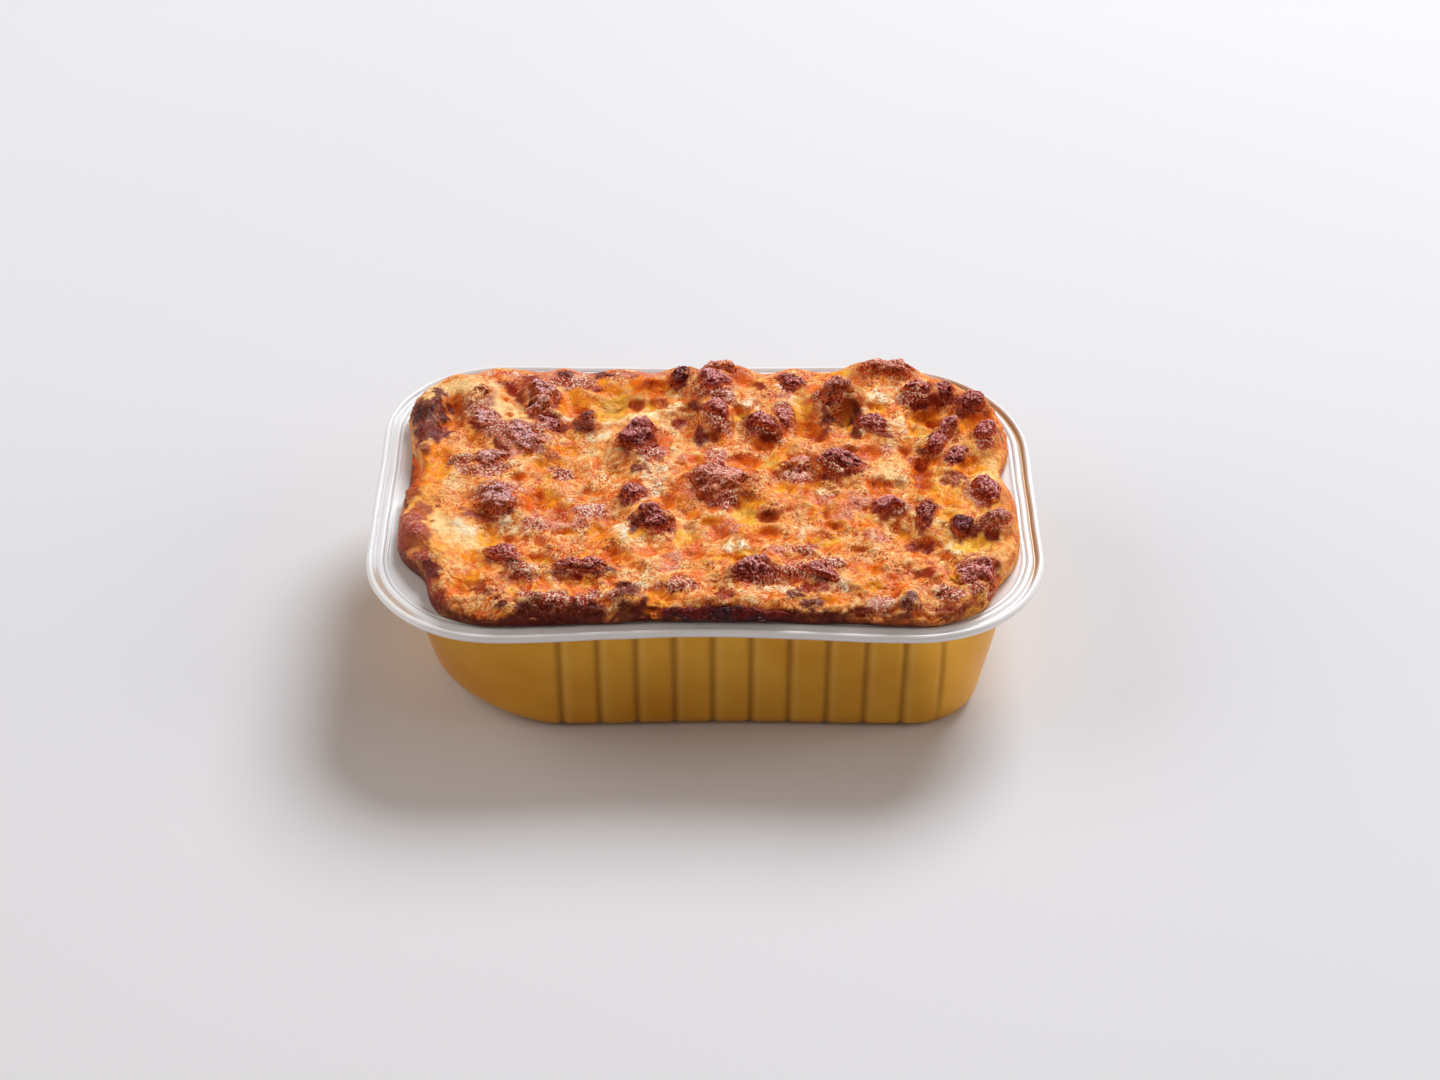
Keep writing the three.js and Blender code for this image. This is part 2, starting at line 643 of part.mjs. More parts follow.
// The burnt edge of a pasta sheet that curls out over the rim at the front
const BURNT_EDGE = {
  from: -16,
  to: 26,
  foot: 1.2,
  thick: 3.6,
  high: 4.6,
  overhang: 1.4,
  tip: 0.4,
  sections: 14,
  sides: 8,
  taper: { from: 0.08, to: 0.96 },
};
const BURNT_WAVES = [
  { by: 0.2, pitch: 0.55, start: 1 },
  { by: 0.12, pitch: 1.3, start: 0 },
];

function burntEdgeSolid(margin) {
  const { from, to, foot, thick, high, overhang, tip, sections, sides, taper } = BURNT_EDGE;
  const skin = new Skin();
  const frontLine = measured(inset(oblong(RIM), FOOD_REACH.front - overhang));
  const rings = [];
  for (let i = 0; i <= sections; i++) {
    const share = i / sections;
    const x = lerp(from - margin, to + margin, share);
    const middle = pointAt(frontLine, lengthAt(frontLine, "x", x, (p) => p.y < 0));
    const fullness = Math.sqrt(Math.sin(Math.PI * lerp(taper.from, taper.to, share)));
    const sway = BURNT_WAVES.reduce((sum, w) => sum + w.by * Math.sin(w.pitch * x + w.start), 0);
    const ring = [];
    for (let k = 0; k < sides; k++) {
      const angle = (2 * Math.PI * k) / sides;
      ring.push({
        x,
        y: middle.y + thick / 2 + ((thick / 2) * fullness + margin) * Math.cos(angle) + sway,
        z: RIM_TOP + foot + high / 2 + ((high / 2) * fullness + margin) * Math.sin(angle) + sway,
        s: k / sides,
      });
    }
    rings.push(skin.addRing(ring));
  }
  for (let i = 0; i < sections; i++) skin.zip(rings[i], rings[i + 1]);
  const closeEnd = (ring, x, facing) => {
    const points = ring.map(({ index }) => skin.positions.slice(3 * index, 3 * index + 3));
    const mean = (n) => points.reduce((sum, p) => sum + p[n], 0) / points.length;
    skin.cap(ring, mean(2), facing, [x, mean(1)]);
  };
  closeEnd(rings[0], from - margin - tip, -1);
  closeEnd(rings[sections], to + margin + tip, 1);
  return solidOf(skin.geometry());
}

const MATERIALS = {
  foil: new THREE.MeshStandardMaterial({ color: 0xb98a3e, roughness: 0.35, metalness: 0.6 }),
  crust: new THREE.MeshStandardMaterial({ color: 0xd98032, roughness: 0.5, metalness: 0 }),
  mince: new THREE.MeshStandardMaterial({ color: 0x7d3a2c, roughness: 0.65, metalness: 0 }),
  burnt: new THREE.MeshStandardMaterial({ color: 0x3a1d1c, roughness: 0.6, metalness: 0 }),
};

function named(name, geometry, material) {
  const mesh = new THREE.Mesh(geometry, material);
  mesh.name = name;
  return mesh;
}

const dish = new THREE.Group();
dish.add(named("foil_tray", trayGeometry(), MATERIALS.foil));

// Each crumble is cut by the beds of its neighbours that were placed before it, and beds itself in the food
const NEIGHBOUR_REACH = 26;
let food = foodSolid().subtract(burntEdgeSolid(GAP));
const placed = [];
CRUMBLES.forEach((crumble, i) => {
  let solid = crumbleSolid(crumble, i + 1, false);
  for (const other of placed) {
    const apart = Math.hypot(other.at[0] - crumble.at[0], other.at[1] - crumble.at[1]);
    if (apart < NEIGHBOUR_REACH) solid = solid.subtract(other.bed);
  }
  const bed = crumbleSolid(crumble, i + 1, true);
  food = food.subtract(bed);
  placed.push({ at: crumble.at, bed });
  const number = String(i + 1).padStart(2, "0");
  dish.add(named(`mince_crumble_${number}`, geometryOf(largestOf(solid)), MATERIALS.mince));
});
dish.add(named("lasagna", geometryOf(largestOf(food)), MATERIALS.crust));
dish.add(named("burnt_pasta_edge", geometryOf(burntEdgeSolid(0)), MATERIALS.burnt));

export default dish;
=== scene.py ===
# Looks of a baked lasagna in its oblong foil tray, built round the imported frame.
# Lengths are in millimetres, +Z up, until a mesh is made. +Y points away from the side seen first.
import math
import bpy
import numpy as np
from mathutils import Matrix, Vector


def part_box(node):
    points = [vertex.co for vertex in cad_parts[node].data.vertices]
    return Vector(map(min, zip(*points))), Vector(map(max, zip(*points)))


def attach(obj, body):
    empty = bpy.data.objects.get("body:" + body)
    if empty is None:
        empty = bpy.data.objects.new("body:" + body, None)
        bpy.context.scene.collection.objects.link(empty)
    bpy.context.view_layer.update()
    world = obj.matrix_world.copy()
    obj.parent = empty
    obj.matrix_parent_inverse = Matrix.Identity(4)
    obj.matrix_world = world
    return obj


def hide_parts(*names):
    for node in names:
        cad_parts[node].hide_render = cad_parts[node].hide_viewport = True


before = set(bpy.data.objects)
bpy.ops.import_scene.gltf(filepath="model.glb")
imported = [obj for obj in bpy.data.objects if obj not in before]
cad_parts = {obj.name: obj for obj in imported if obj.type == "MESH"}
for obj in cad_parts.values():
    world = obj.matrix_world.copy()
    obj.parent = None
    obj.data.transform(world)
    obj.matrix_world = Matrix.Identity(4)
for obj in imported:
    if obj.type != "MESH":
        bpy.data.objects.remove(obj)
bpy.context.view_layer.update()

MM = 0.001

# Camera and picture
PICTURE_WIDTH = 1440
FOCAL_PIXELS = 2922
SENSOR = 36.0
CAMERA_PITCH = 38.0
CAMERA_PLACE = (4.9, -759.3, 622.3)

# Tray: driving dimensions, as in the frame, and how its mesh is divided
RIM_TOP = 48.5
WALL_TOP = 45.5
FOIL = 0.8
BASE_THICKNESS = 1.0
PINCH_FRONT = 3.0
PINCH_FOOT = 1.0
PINCH_BACK = 0.8
COVE = 4.0
COVE_LEFT = 10.0
CORNER_GROWTH = 1.6
RIM = {"half": (107.5, 73.5), "corners": (49, 38, 43, 42)}
WALL_HEAD = {"half": (97.5, 66.0), "corners": (41, 36, 41, 34)}
WALL_FOOT = {"half": (87.5, 60.5), "corners": (22, 40, 40, 22)}
LINING_BEND = 34.0
OUTLINE_STEPS = {"corner": 72, "long": 160, "end": 70}

FLUTE_PITCH = 12.0
FLUTE_DEPTH = 0.7
FLUTE_SPREAD = 1.0
# How far right of each flute its painted highlight lies
FLUTE_HIGHLIGHT_SHIFT = 2.2
FLUTES_LONG = {"first": -45.5, "count": 11}
FLUTES_END = {"first": -24.0, "count": 5}

# Rim's section: how far in from the outer edge, how high, and how much of it is gilt
RIM_SECTION = [
    (6.9, 47.0, 1), (2.9, 46.9, 1), (2.3, 45.7, 0), (1.4, 45.4, 0), (0.5, 45.7, 0), (0.0, 47.0, 0),
    (0.35, 48.0, 0), (1.1, 48.5, 0), (1.8, 48.3, 0.5), (2.15, 47.6, 1), (2.6, 47.3, 1), (3.3, 47.4, 0.9),
    (3.7, 48.1, 0), (4.4, 48.4, 0), (5.3, 48.3, 0), (5.7, 47.8, 0.1), (6.0, 48.1, 0), (6.6, 48.2, 0),
    (7.3, 47.8, 0),
]
RIM_UNDERSIDE = 47.0
RIM_CURL = 2.6

# Fine lines of painted shade where the rim's steps fold: how far in from the outer edge
RIM_CREASE_SHADES = np.array([2.4, 5.7])
CREASE_SHADE_HALF_WIDTH = 0.2

# Food: driving dimensions, as in the frame
FOOD_UNDERSIDE = 1.4
FOOD_GAP = 0.8
FOOD_LEVEL = 6.2
SHOULDER = 6.0
SIDE_FOOT = 47.9
WIDEST = 0.42
FOOD_REACH = {"front": 4.2, "other": 7.4}
RIM_INSIDE = 7.2
FLANGE_END = 9.4
FLANGE_MARGIN = 0.9
FLANGE_DROP = 0.5
NET = {"along": 300, "deep": 204}
SIDE_RINGS = 26

# Where the food stands back from the rim: place, half sizes, turn and by how much
STANDS_BACK = [
    (-104, 5, 16, 42, 0, 3.5),
    (-92, -50, 20, 16, 0, 9),
    (101, 5, 9, 8, 0, 6),
    (98, -52, 14, 14, 0, 3),
    (48, -68, 7, 6, 0, 2.5),
]

# Ridges, rises and hollows of the baked top: place, half sizes, turn and height
RELIEF = [
    (-92, 10, 9, 40, 0, 3.2),
    (-86, -42, 10, 22, 30, 2.6),
    (-92, 36, 8, 14, 0, 2),
    (-85, 36, 3.5, 9, 20, -4.5),
    (-71, 45, 8, 22, 50, 3.6),
    (-61, 40, 4, 14, 38, -4),
    (-64, 20, 17, 7, -42, 2.4),
    (-44, 45, 8, 9, 0, -3.2),
    (-28, 43, 8, 10, 0, -4.2),
    (-16, 53, 13, 6, 0, 2.4),
    (-24, 33, 16, 4, 24, 2),
    (-6, 32, 4, 13, 0, -3.6),
    (3, 44, 10, 15, 0, 3.4),
    (34, 36, 7, 10, 0, -3.4),
    (45, 43, 10, 8, 0, 3.2),
    (46, 32, 4, 5, 0, -3),
    (61, 60, 12, 7, 0, 1.6),
    (62, 36, 12, 8, -40, 1.8),
    (76, 32, 8, 6, 0, -3.4),
    (80, 24, 4, 17, -22, 1.2),
    (92, 34, 8, 16, 0, 1.8),
    (72, 10, 9, 5, -20, -2.4),
    (94, -24, 8, 24, 0, 2.4),
    (88, -50, 14, 10, 35, 1.6),
    (67, -34, 8, 5, 0, -3.2),
    (22, -12, 9, 8, 0, 3),
    (-2, -10, 13, 8, 0, -2.6),
    (40, 0, 16, 8, 0, 1.8),
    (-66, -30, 7, 8, -40, -3),
    (-49, -44, 9, 5, 0, -2.8),
    (-66, -8, 10, 12, 0, 2),
    (-46, -52, 24, 4, 4, 2.2),
    (-48, -62, 15, 6, 0, 2.2),
    (-8, -30, 8, 6, 0, -2.2),
    (18, -53, 18, 4, 8, -1.8),
    (4, -63, 22, 4, 0, 1.4),
    (56, -58, 10, 6, 0, 1.4),
    (36, -26, 8, 14, 30, -1.4),
    (-80, 10, 4, 4, 0, 2.4),
    (-23, -63, 8, 5, 0, 2.2),
    (-5, -54, 5.4, 4, 0, 2.6),
    (62, -60, 4, 5, 0, 2),
]


def srgb(red, green, blue):
    """Colour of 0 to 255 values as the linear values that shaders take"""
    share = np.array([red, green, blue]) / 255
    return np.where(share <= 0.04045, share / 12.92, ((share + 0.055) / 1.055) ** 2.4)


PALETTE = {
    "cream": srgb(255, 234, 190),
    "pale": srgb(255, 214, 146),
    "peach": srgb(250, 176, 92),
    "pink": srgb(222, 134, 104),
    "straw": srgb(236, 190, 84),
    "yellow": srgb(255, 196, 66),
    "gold": srgb(252, 164, 22),
    "tan": srgb(248, 168, 60),
    "orange": srgb(240, 120, 8),
    "ember": srgb(228, 104, 16),
    "deep": srgb(196, 76, 8),
    "rust": srgb(164, 54, 18),
    "brown": srgb(172, 82, 34),
    "red": srgb(146, 38, 22),
    "dusk": srgb(178, 88, 60),
    "lilac": srgb(212, 146, 138),
    "mauve": srgb(200, 108, 102),
    "lump": srgb(176, 68, 60),
    "maroon": srgb(118, 20, 8),
    "purple": srgb(106, 26, 38),
    "mahogany": srgb(90, 16, 4),
    "black": srgb(60, 20, 32),
}
BROWNED = ("mauve", "lilac", "lump", "purple", "dusk")
BROWNED_GROWTH = 1.2
PLAIN = ("brown", "rust", "red", "purple", "maroon", "mahogany", "black")


def lerp(start, end, share):
    return start + (end - start) * share


def blend(start, end, share):
    """Mixes rows of colour, each by its own share"""
    return lerp(start, end, share[:, None])


def shaded(tint, shade, share):
    """Multiplies rows of colour by a shade, each by its own share"""
    return tint * blend(np.ones(3), np.array(shade), share)


def smoothstep(value, low, high):
    share = np.clip((value - low) / (high - low), 0, 1)
    return share * share * (3 - 2 * share)


def distance_in(x, y, at_x, at_y, half_x, half_y, turn=0):
    """Distance from a place in half sizes of an oval about it"""
    cosine, sine = math.cos(math.radians(turn)), math.sin(math.radians(turn))
    along = ((x - at_x) * cosine + (y - at_y) * sine) / half_x
    across = ((y - at_y) * cosine - (x - at_x) * sine) / half_y
    return np.hypot(along, across)


def hills(x, y, rows):
    """Sum of soft hills and hollows at each place. A row holds a place, half sizes, a turn and a height."""
    total = np.zeros_like(x)
    for *oval, height in rows:
        total += height * np.exp(-(distance_in(x, y, *oval) ** 2))
    return total


class Noise:
    """Seeded smooth noise in three dimensions, from about -1 to 1"""

    def __init__(self, seed):
        draw = np.random.default_rng(seed)
        self.order = np.tile(draw.permutation(256), 2)
        slopes = draw.normal(size=(256, 3))
        self.slopes = slopes / np.linalg.norm(slopes, axis=1, keepdims=True)

    def at(self, points):
        cell = np.floor(points).astype(int)
        part = points - cell
        ease = part**3 * (part * (part * 6 - 15) + 10)
        total = np.zeros(len(points))
        for corner in np.ndindex(2, 2, 2):
            x, y, z = ((cell + corner) & 255).T
            slope = self.slopes[self.order[self.order[self.order[x] + y] + z]]
            weight = np.prod(np.where(corner, ease, 1 - ease), axis=1)
            total += weight * np.sum(slope * (part - corner), axis=1)
        return total * 1.6

    def layers(self, points, size, count=3, fold=False):
        """Layers of noise, each half as large as the last.
        Folded noise has round tops and sharp creases."""
        total = np.zeros(len(points))
        for n in range(count):
            value = self.at(points * (2**n / size) + 17.3 * n)
            total += (2 * np.abs(value) - 0.6 if fold else value) / 2**n
        return total


def oblong(shape, pinch_front, pinch_back):
    """Outline of the tray at one level as rows of x, y and the angle of the normal, anticlockwise"""
    half_length, half_width = shape["half"]
    corners = shape["corners"]
    signs = [(1, 1), (-1, 1), (-1, -1), (1, -1)]
    centres = [(sx * (half_length - r), sy * (half_width - r)) for (sx, sy), r in zip(signs, corners)]
    pinches = (pinch_back, 0, pinch_front, 0)
    kinds = ("long", "end", "long", "end")
    rows = []
    for n in range(4):
        share = np.arange(OUTLINE_STEPS["corner"]) / OUTLINE_STEPS["corner"]
        angle = math.pi / 2 * (n + share)
        x, y = centres[n]
        rows.append(np.stack([x + corners[n] * np.cos(angle), y + corners[n] * np.sin(angle), angle], 1))
        after = (n + 1) % 4
        turn = math.pi / 2 * (n + 1)
        normal = np.array([math.cos(turn), math.sin(turn)])
        start = np.array(centres[n]) + corners[n] * normal
        end = np.array(centres[after]) + corners[after] * normal
        share = (np.arange(OUTLINE_STEPS[kinds[n]]) / OUTLINE_STEPS[kinds[n]])[:, None]
        place = lerp(start, end, share) - pinches[n] * np.sin(math.pi * share) ** 2 * normal
        rows.append(np.column_stack([place, np.full(len(place), turn)]))
    return np.concatenate(rows)


def inset(outline, distance):
    """Moves each point of an outline in along its own normal"""
    angle = outline[:, 2]
    moved = outline.copy()
    moved[:, 0] -= distance * np.cos(angle)
    moved[:, 1] -= distance * np.sin(angle)
    return moved


def length_along(outline):
    """Length from the first point of an outline to each of its points"""
    return np.append(0, np.cumsum(np.hypot(*np.diff(outline[:, :2], axis=0).T)))


def wall_outline(z):
    """Outer face of the wall at a height: it flares from base to rim and rounds under at the base"""
    share = min(max(z / WALL_TOP, 0), 1)
    growth = share**CORNER_GROWTH
    foot, head = WALL_FOOT, WALL_HEAD
    shape = {
        "half": tuple(lerp(f, h, share) for f, h in zip(foot["half"], head["half"])),
        "corners": tuple(lerp(f, h, growth) for f, h in zip(foot["corners"], head["corners"])),
    }
    outline = oblong(shape, lerp(PINCH_FOOT, PINCH_FRONT, share), PINCH_BACK)
    angle = outline[:, 2]
    cove = lerp(COVE, COVE_LEFT, np.where(np.cos(angle) < 0, np.abs(np.sin(2 * angle)), 0))
    rise = np.clip(cove - z, 0, cove)
    return inset(outline, cove - np.sqrt(cove**2 - rise**2))


def lining_outline(z):
    """Inner face of the wall at a height"""
    return inset(wall_outline(z), FOIL + FLUTE_DEPTH)


def rim_outline():
    return oblong(RIM, PINCH_FRONT, PINCH_BACK)


def flutes(outline, shift=0.0):
    """How far each point of an outline lies in a flute, from 0 to 1.
    A shift looks that far to the right of each flute instead."""
    x, y, angle = outline.T
    depth = np.zeros(len(outline))
    for along, facing, row in ((x, np.sin(angle), FLUTES_LONG), (y, np.cos(angle), FLUTES_END)):
        for n in range(row["count"]):
            apart = (along - row["first"] - n * FLUTE_PITCH - shift) / FLUTE_SPREAD
            depth += np.exp(-(apart**2)) * smoothstep(np.abs(facing), 0.9, 0.98)
    return depth


# Meshes and pieces


def add_object(name, data):
    made = bpy.data.objects.new(name, data)
    bpy.context.scene.collection.objects.link(made)
    return made


def piece(name, points, faces, materials, face_material=None, attributes=None, stands_for=()):
    """Makes a smooth mesh object out of millimetre points, and has it ride on the frame"""
    mesh = bpy.data.meshes.new(name)
    mesh.from_pydata((np.asarray(points) * MM).tolist(), [], faces)
    for material in materials:
        mesh.materials.append(material)
    mesh.polygons.foreach_set("use_smooth", np.ones(len(faces), bool))
    if face_material is not None:
        mesh.polygons.foreach_set("material_index", np.asarray(face_material, np.int32))
    for key, values in (attributes or {}).items():
        if values.ndim == 2:
            layer = mesh.color_attributes.new(key, "FLOAT_COLOR", "POINT")
            coloured = np.column_stack([np.clip(values, 0, 1), np.ones(len(values))])
            layer.data.foreach_set("color", coloured.astype(np.float32).ravel())
        else:
            layer = mesh.attributes.new(key, "FLOAT", "POINT")
            layer.data.foreach_set("value", np.clip(values, 0, 1).astype(np.float32))
    mesh.update()
    made = add_object(name, mesh)
    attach(made, "root")
    if stands_for:
        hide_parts(*stands_for)
    return made


def stack_faces(numbers):
    """Squares between rings of vertex numbers, facing out if each ring lies above the one before"""
    lower, upper = numbers[:-1], numbers[1:]
    return np.stack([lower, np.roll(lower, -1, 1), np.roll(upper, -1, 1), upper], -1).reshape(-1, 4)


def normals_of(points, faces):
    """Smooth vertex normals of a mesh of squares"""
    corners = points[faces]
    across = np.cross(corners[:, 2] - corners[:, 0], corners[:, 3] - corners[:, 1])
    total = np.zeros_like(points)
    for n in range(faces.shape[1]):
        np.add.at(total, faces[:, n], across)
    return total / np.maximum(np.linalg.norm(total, axis=1, keepdims=True), 1e-9)


# Materials


class Shader:
    """A node material and a short way to add and join its nodes"""

    def __init__(self, name, **constants):
        self.material = bpy.data.materials.new(name)
        self.material.use_nodes = True
        self.tree = self.material.node_tree
        self.surface = self.tree.nodes["Principled BSDF"]
        for key, value in constants.items():
            self.surface.inputs[key.replace("_", " ")].default_value = value

    def add(self, kind, links=None, values=None, **settings):
        node = self.tree.nodes.new("ShaderNode" + kind)
        for key, value in settings.items():
            setattr(node, key, value)
        for key, value in (values or {}).items():
            node.inputs[key].default_value = value
        for key, socket in (links or {}).items():
            self.tree.links.new(socket, node.inputs[key])
        return node

    def place(self):
        return self.add("TexCoord").outputs["Object"]

    def noise(self, size, detail=2.0, roughness=0.5, swirl=0.0):
        """Noise whose features are about size millimetres"""
        values = {"Scale": 1 / (size * MM), "Detail": detail, "Roughness": roughness, "Distortion": swirl}
        return self.add("TexNoise", {"Vector": self.place()}, values).outputs["Fac"]

    def strands(self, size, width):
        """Thin curved lines, where swirled noise crosses its middle"""
        swirled = self.noise(size, 1.0, 0.5, 0.8)
        return self.add("Math", {0: swirled}, {1: 0.5, 2: width}, operation="COMPARE").outputs[0]

    def ramp(self, socket, low, high, to_low=0.0, to_high=1.0):
        values = {"From Min": low, "From Max": high, "To Min": to_low, "To Max": to_high}
        return self.add("MapRange", {"Value": socket}, values).outputs["Result"]

    def multiply(self, first, second):
        node = self.add("Math", {0: first}, operation="MULTIPLY")
        if isinstance(second, (int, float)):
            node.inputs[1].default_value = second
        else:
            self.tree.links.new(second, node.inputs[1])
        return node.outputs[0]

    def mix(self, share, first, second, kind="MIX"):
        """Mixes two colours, each a socket or three values"""
        node = self.add("Mix", data_type="RGBA", blend_type=kind)
        for number, value in ((0, share), (6, first), (7, second)):
            if isinstance(value, bpy.types.NodeSocket):
                self.tree.links.new(value, node.inputs[number])
            elif number:
                node.inputs[number].default_value = (*value, 1)
            else:
                node.inputs[number].default_value = value
        return node.outputs[2]

    def attribute(self, name, output="Fac"):
        return self.add("Attribute", attribute_name=name).outputs[output]

    def bump(self, height, distance, normal=None):
        links = {"Height": height}
        if normal:
            links["Normal"] = normal
        return self.add("Bump", links, {"Distance": distance * MM, "Strength": 1.0}).outputs["Normal"]

    def wire(self, socket, key):
        self.tree.links.new(socket, self.surface.inputs[key])


DARK_GRAINS = (0.52, 0.27, 0.11)
LIGHT_STRANDS = (1.25, 1.6, 2.4)
DARK_STRANDS = (0.66, 0.38, 0.2)
OILY_ROUGHNESS = 0.24


def food_material(name, roughness, scatter, gloss, coarse, fleck):
    """Baked food: painted colour, fine pale and dark grains and strands, and an oily gloss in places. The
    pale flecks, in the fleck colour, are partly the crust's grain and partly painted glints.
    Coarse food has deeper grains, and has them all over instead of in patches."""
    shader = Shader(name, Subsurface_Weight=scatter, Subsurface_Scale=2.0 * MM, Specular_IOR_Level=gloss)
    shader.surface.inputs["Subsurface Radius"].default_value = (1.0, 0.4, 0.16)
    tint = shader.attribute("tint", "Color")
    fleck_and_glint = shader.attribute("fleck_and_glint")
    grain = shader.noise(0.75, 1.0, 0.5)
    patches = shader.ramp(shader.noise(9.0, 2.0), 0.36 - 0.3 * coarse, 0.58 - 0.3 * coarse)
    crisp = shader.multiply(patches, shader.attribute("grit"))
    colour = tint
    for share, shade in (
        (shader.ramp(grain, 0.46, 0.38), DARK_GRAINS),
        (shader.strands(4.2, 0.03), LIGHT_STRANDS),
        (shader.strands(3.0, 0.024), DARK_STRANDS),
    ):
        colour = shader.mix(shader.multiply(share, crisp), colour, shade, "MULTIPLY")
    # Pale flecks: partly grain, partly painted glints
    pale = shader.multiply(shader.ramp(grain, 0.53 - 0.02 * coarse, 0.6), fleck_and_glint)
    colour = shader.mix(shader.multiply(pale, 0.86), colour, fleck)
    patchy = shader.ramp(shader.noise(2.2, 4.0, 0.7), 0.3, 0.7, 0.78, 1.2)
    bright = shader.add("VectorMath", {0: colour}, operation="SCALE")
    shader.tree.links.new(patchy, bright.inputs["Scale"])
    shader.wire(bright.outputs[0], "Base Color")
    shader.wire(shader.ramp(shader.attribute("oil"), 0, 1, roughness, OILY_ROUGHNESS), "Roughness")
    fine = shader.bump(grain, 0.26 + 0.2 * coarse)
    shader.wire(shader.bump(shader.noise(1.7, 3.0, 0.6), 0.34, fine), "Normal")
    return shader.material


def gold_material():
    """Gold lacquered foil: smooth satin metal with soft unevenness, with painted shade in the flutes and a
    painted highlight just right of each flute
    """
    shader = Shader("gold_lacquer", Metallic=0.75)
    cloudy = shader.noise(26.0, 2.0, 0.5)
    colour = shader.mix(shader.ramp(cloudy, 0.35, 0.65), srgb(228, 163, 50), srgb(240, 182, 66))
    # Painted shade in each flute
    colour = shader.mix(shader.multiply(shader.attribute("flute_shade"), 0.6), colour, srgb(138, 88, 24))
    # Painted highlight in a band just right of each flute (the ridge share)
    colour = shader.mix(shader.multiply(shader.attribute("ridge"), 0.35), colour, srgb(246, 204, 110))
    shader.wire(colour, "Base Color")
    shader.wire(shader.ramp(cloudy, 0.3, 0.7, 0.34, 0.42), "Roughness")
    shader.wire(shader.bump(shader.noise(14.0, 1.0), 0.25), "Normal")
    return shader.material


def white_material():
    """White lacquered foil, gold-coloured in the rim's channel where the lacquer stops short, with painted
    warm shade in the same colour on the lower side of the rim's curl, and fine lines of painted shade along
    the rim's folds
    """
    shader = Shader("white_lacquer", Coat_Weight=0.6, Coat_Roughness=0.12)
    cloudy = shader.ramp(shader.noise(30.0, 2.0), 0.3, 0.7)
    white = shader.mix(cloudy, srgb(240, 240, 242), srgb(248, 248, 249))
    # Fine lines of painted shade along the rim's folds
    crease_shaded = shader.mix(shader.multiply(shader.attribute("line"), 0.6), white, srgb(140, 134, 132))
    # Gold colour in the rim's channel, and painted warm shade on the lower side of the curl
    shader.wire(shader.mix(shader.attribute("gilt_and_shade"), crease_shaded, srgb(184, 126, 54)), "Base Color")
    shader.wire(shader.ramp(shader.noise(8.0, 2.0), 0.3, 0.7, 0.28, 0.34), "Roughness")
    shader.wire(shader.bump(shader.noise(12.0, 1.0), 0.1), "Normal")
    return shader.material


# The foil tray


def rounded(section, times=2):
    """Cuts the corners of an open section so that it runs round"""
    points = np.array(section, float)
    for _ in range(times):
        first = lerp(points[:-1], points[1:], 0.25)
        second = lerp(points[:-1], points[1:], 0.75)
        between = np.stack([first, second], 1).reshape(-1, points.shape[1])
        points = np.concatenate([points[:1], between, points[-1:]])
    return points


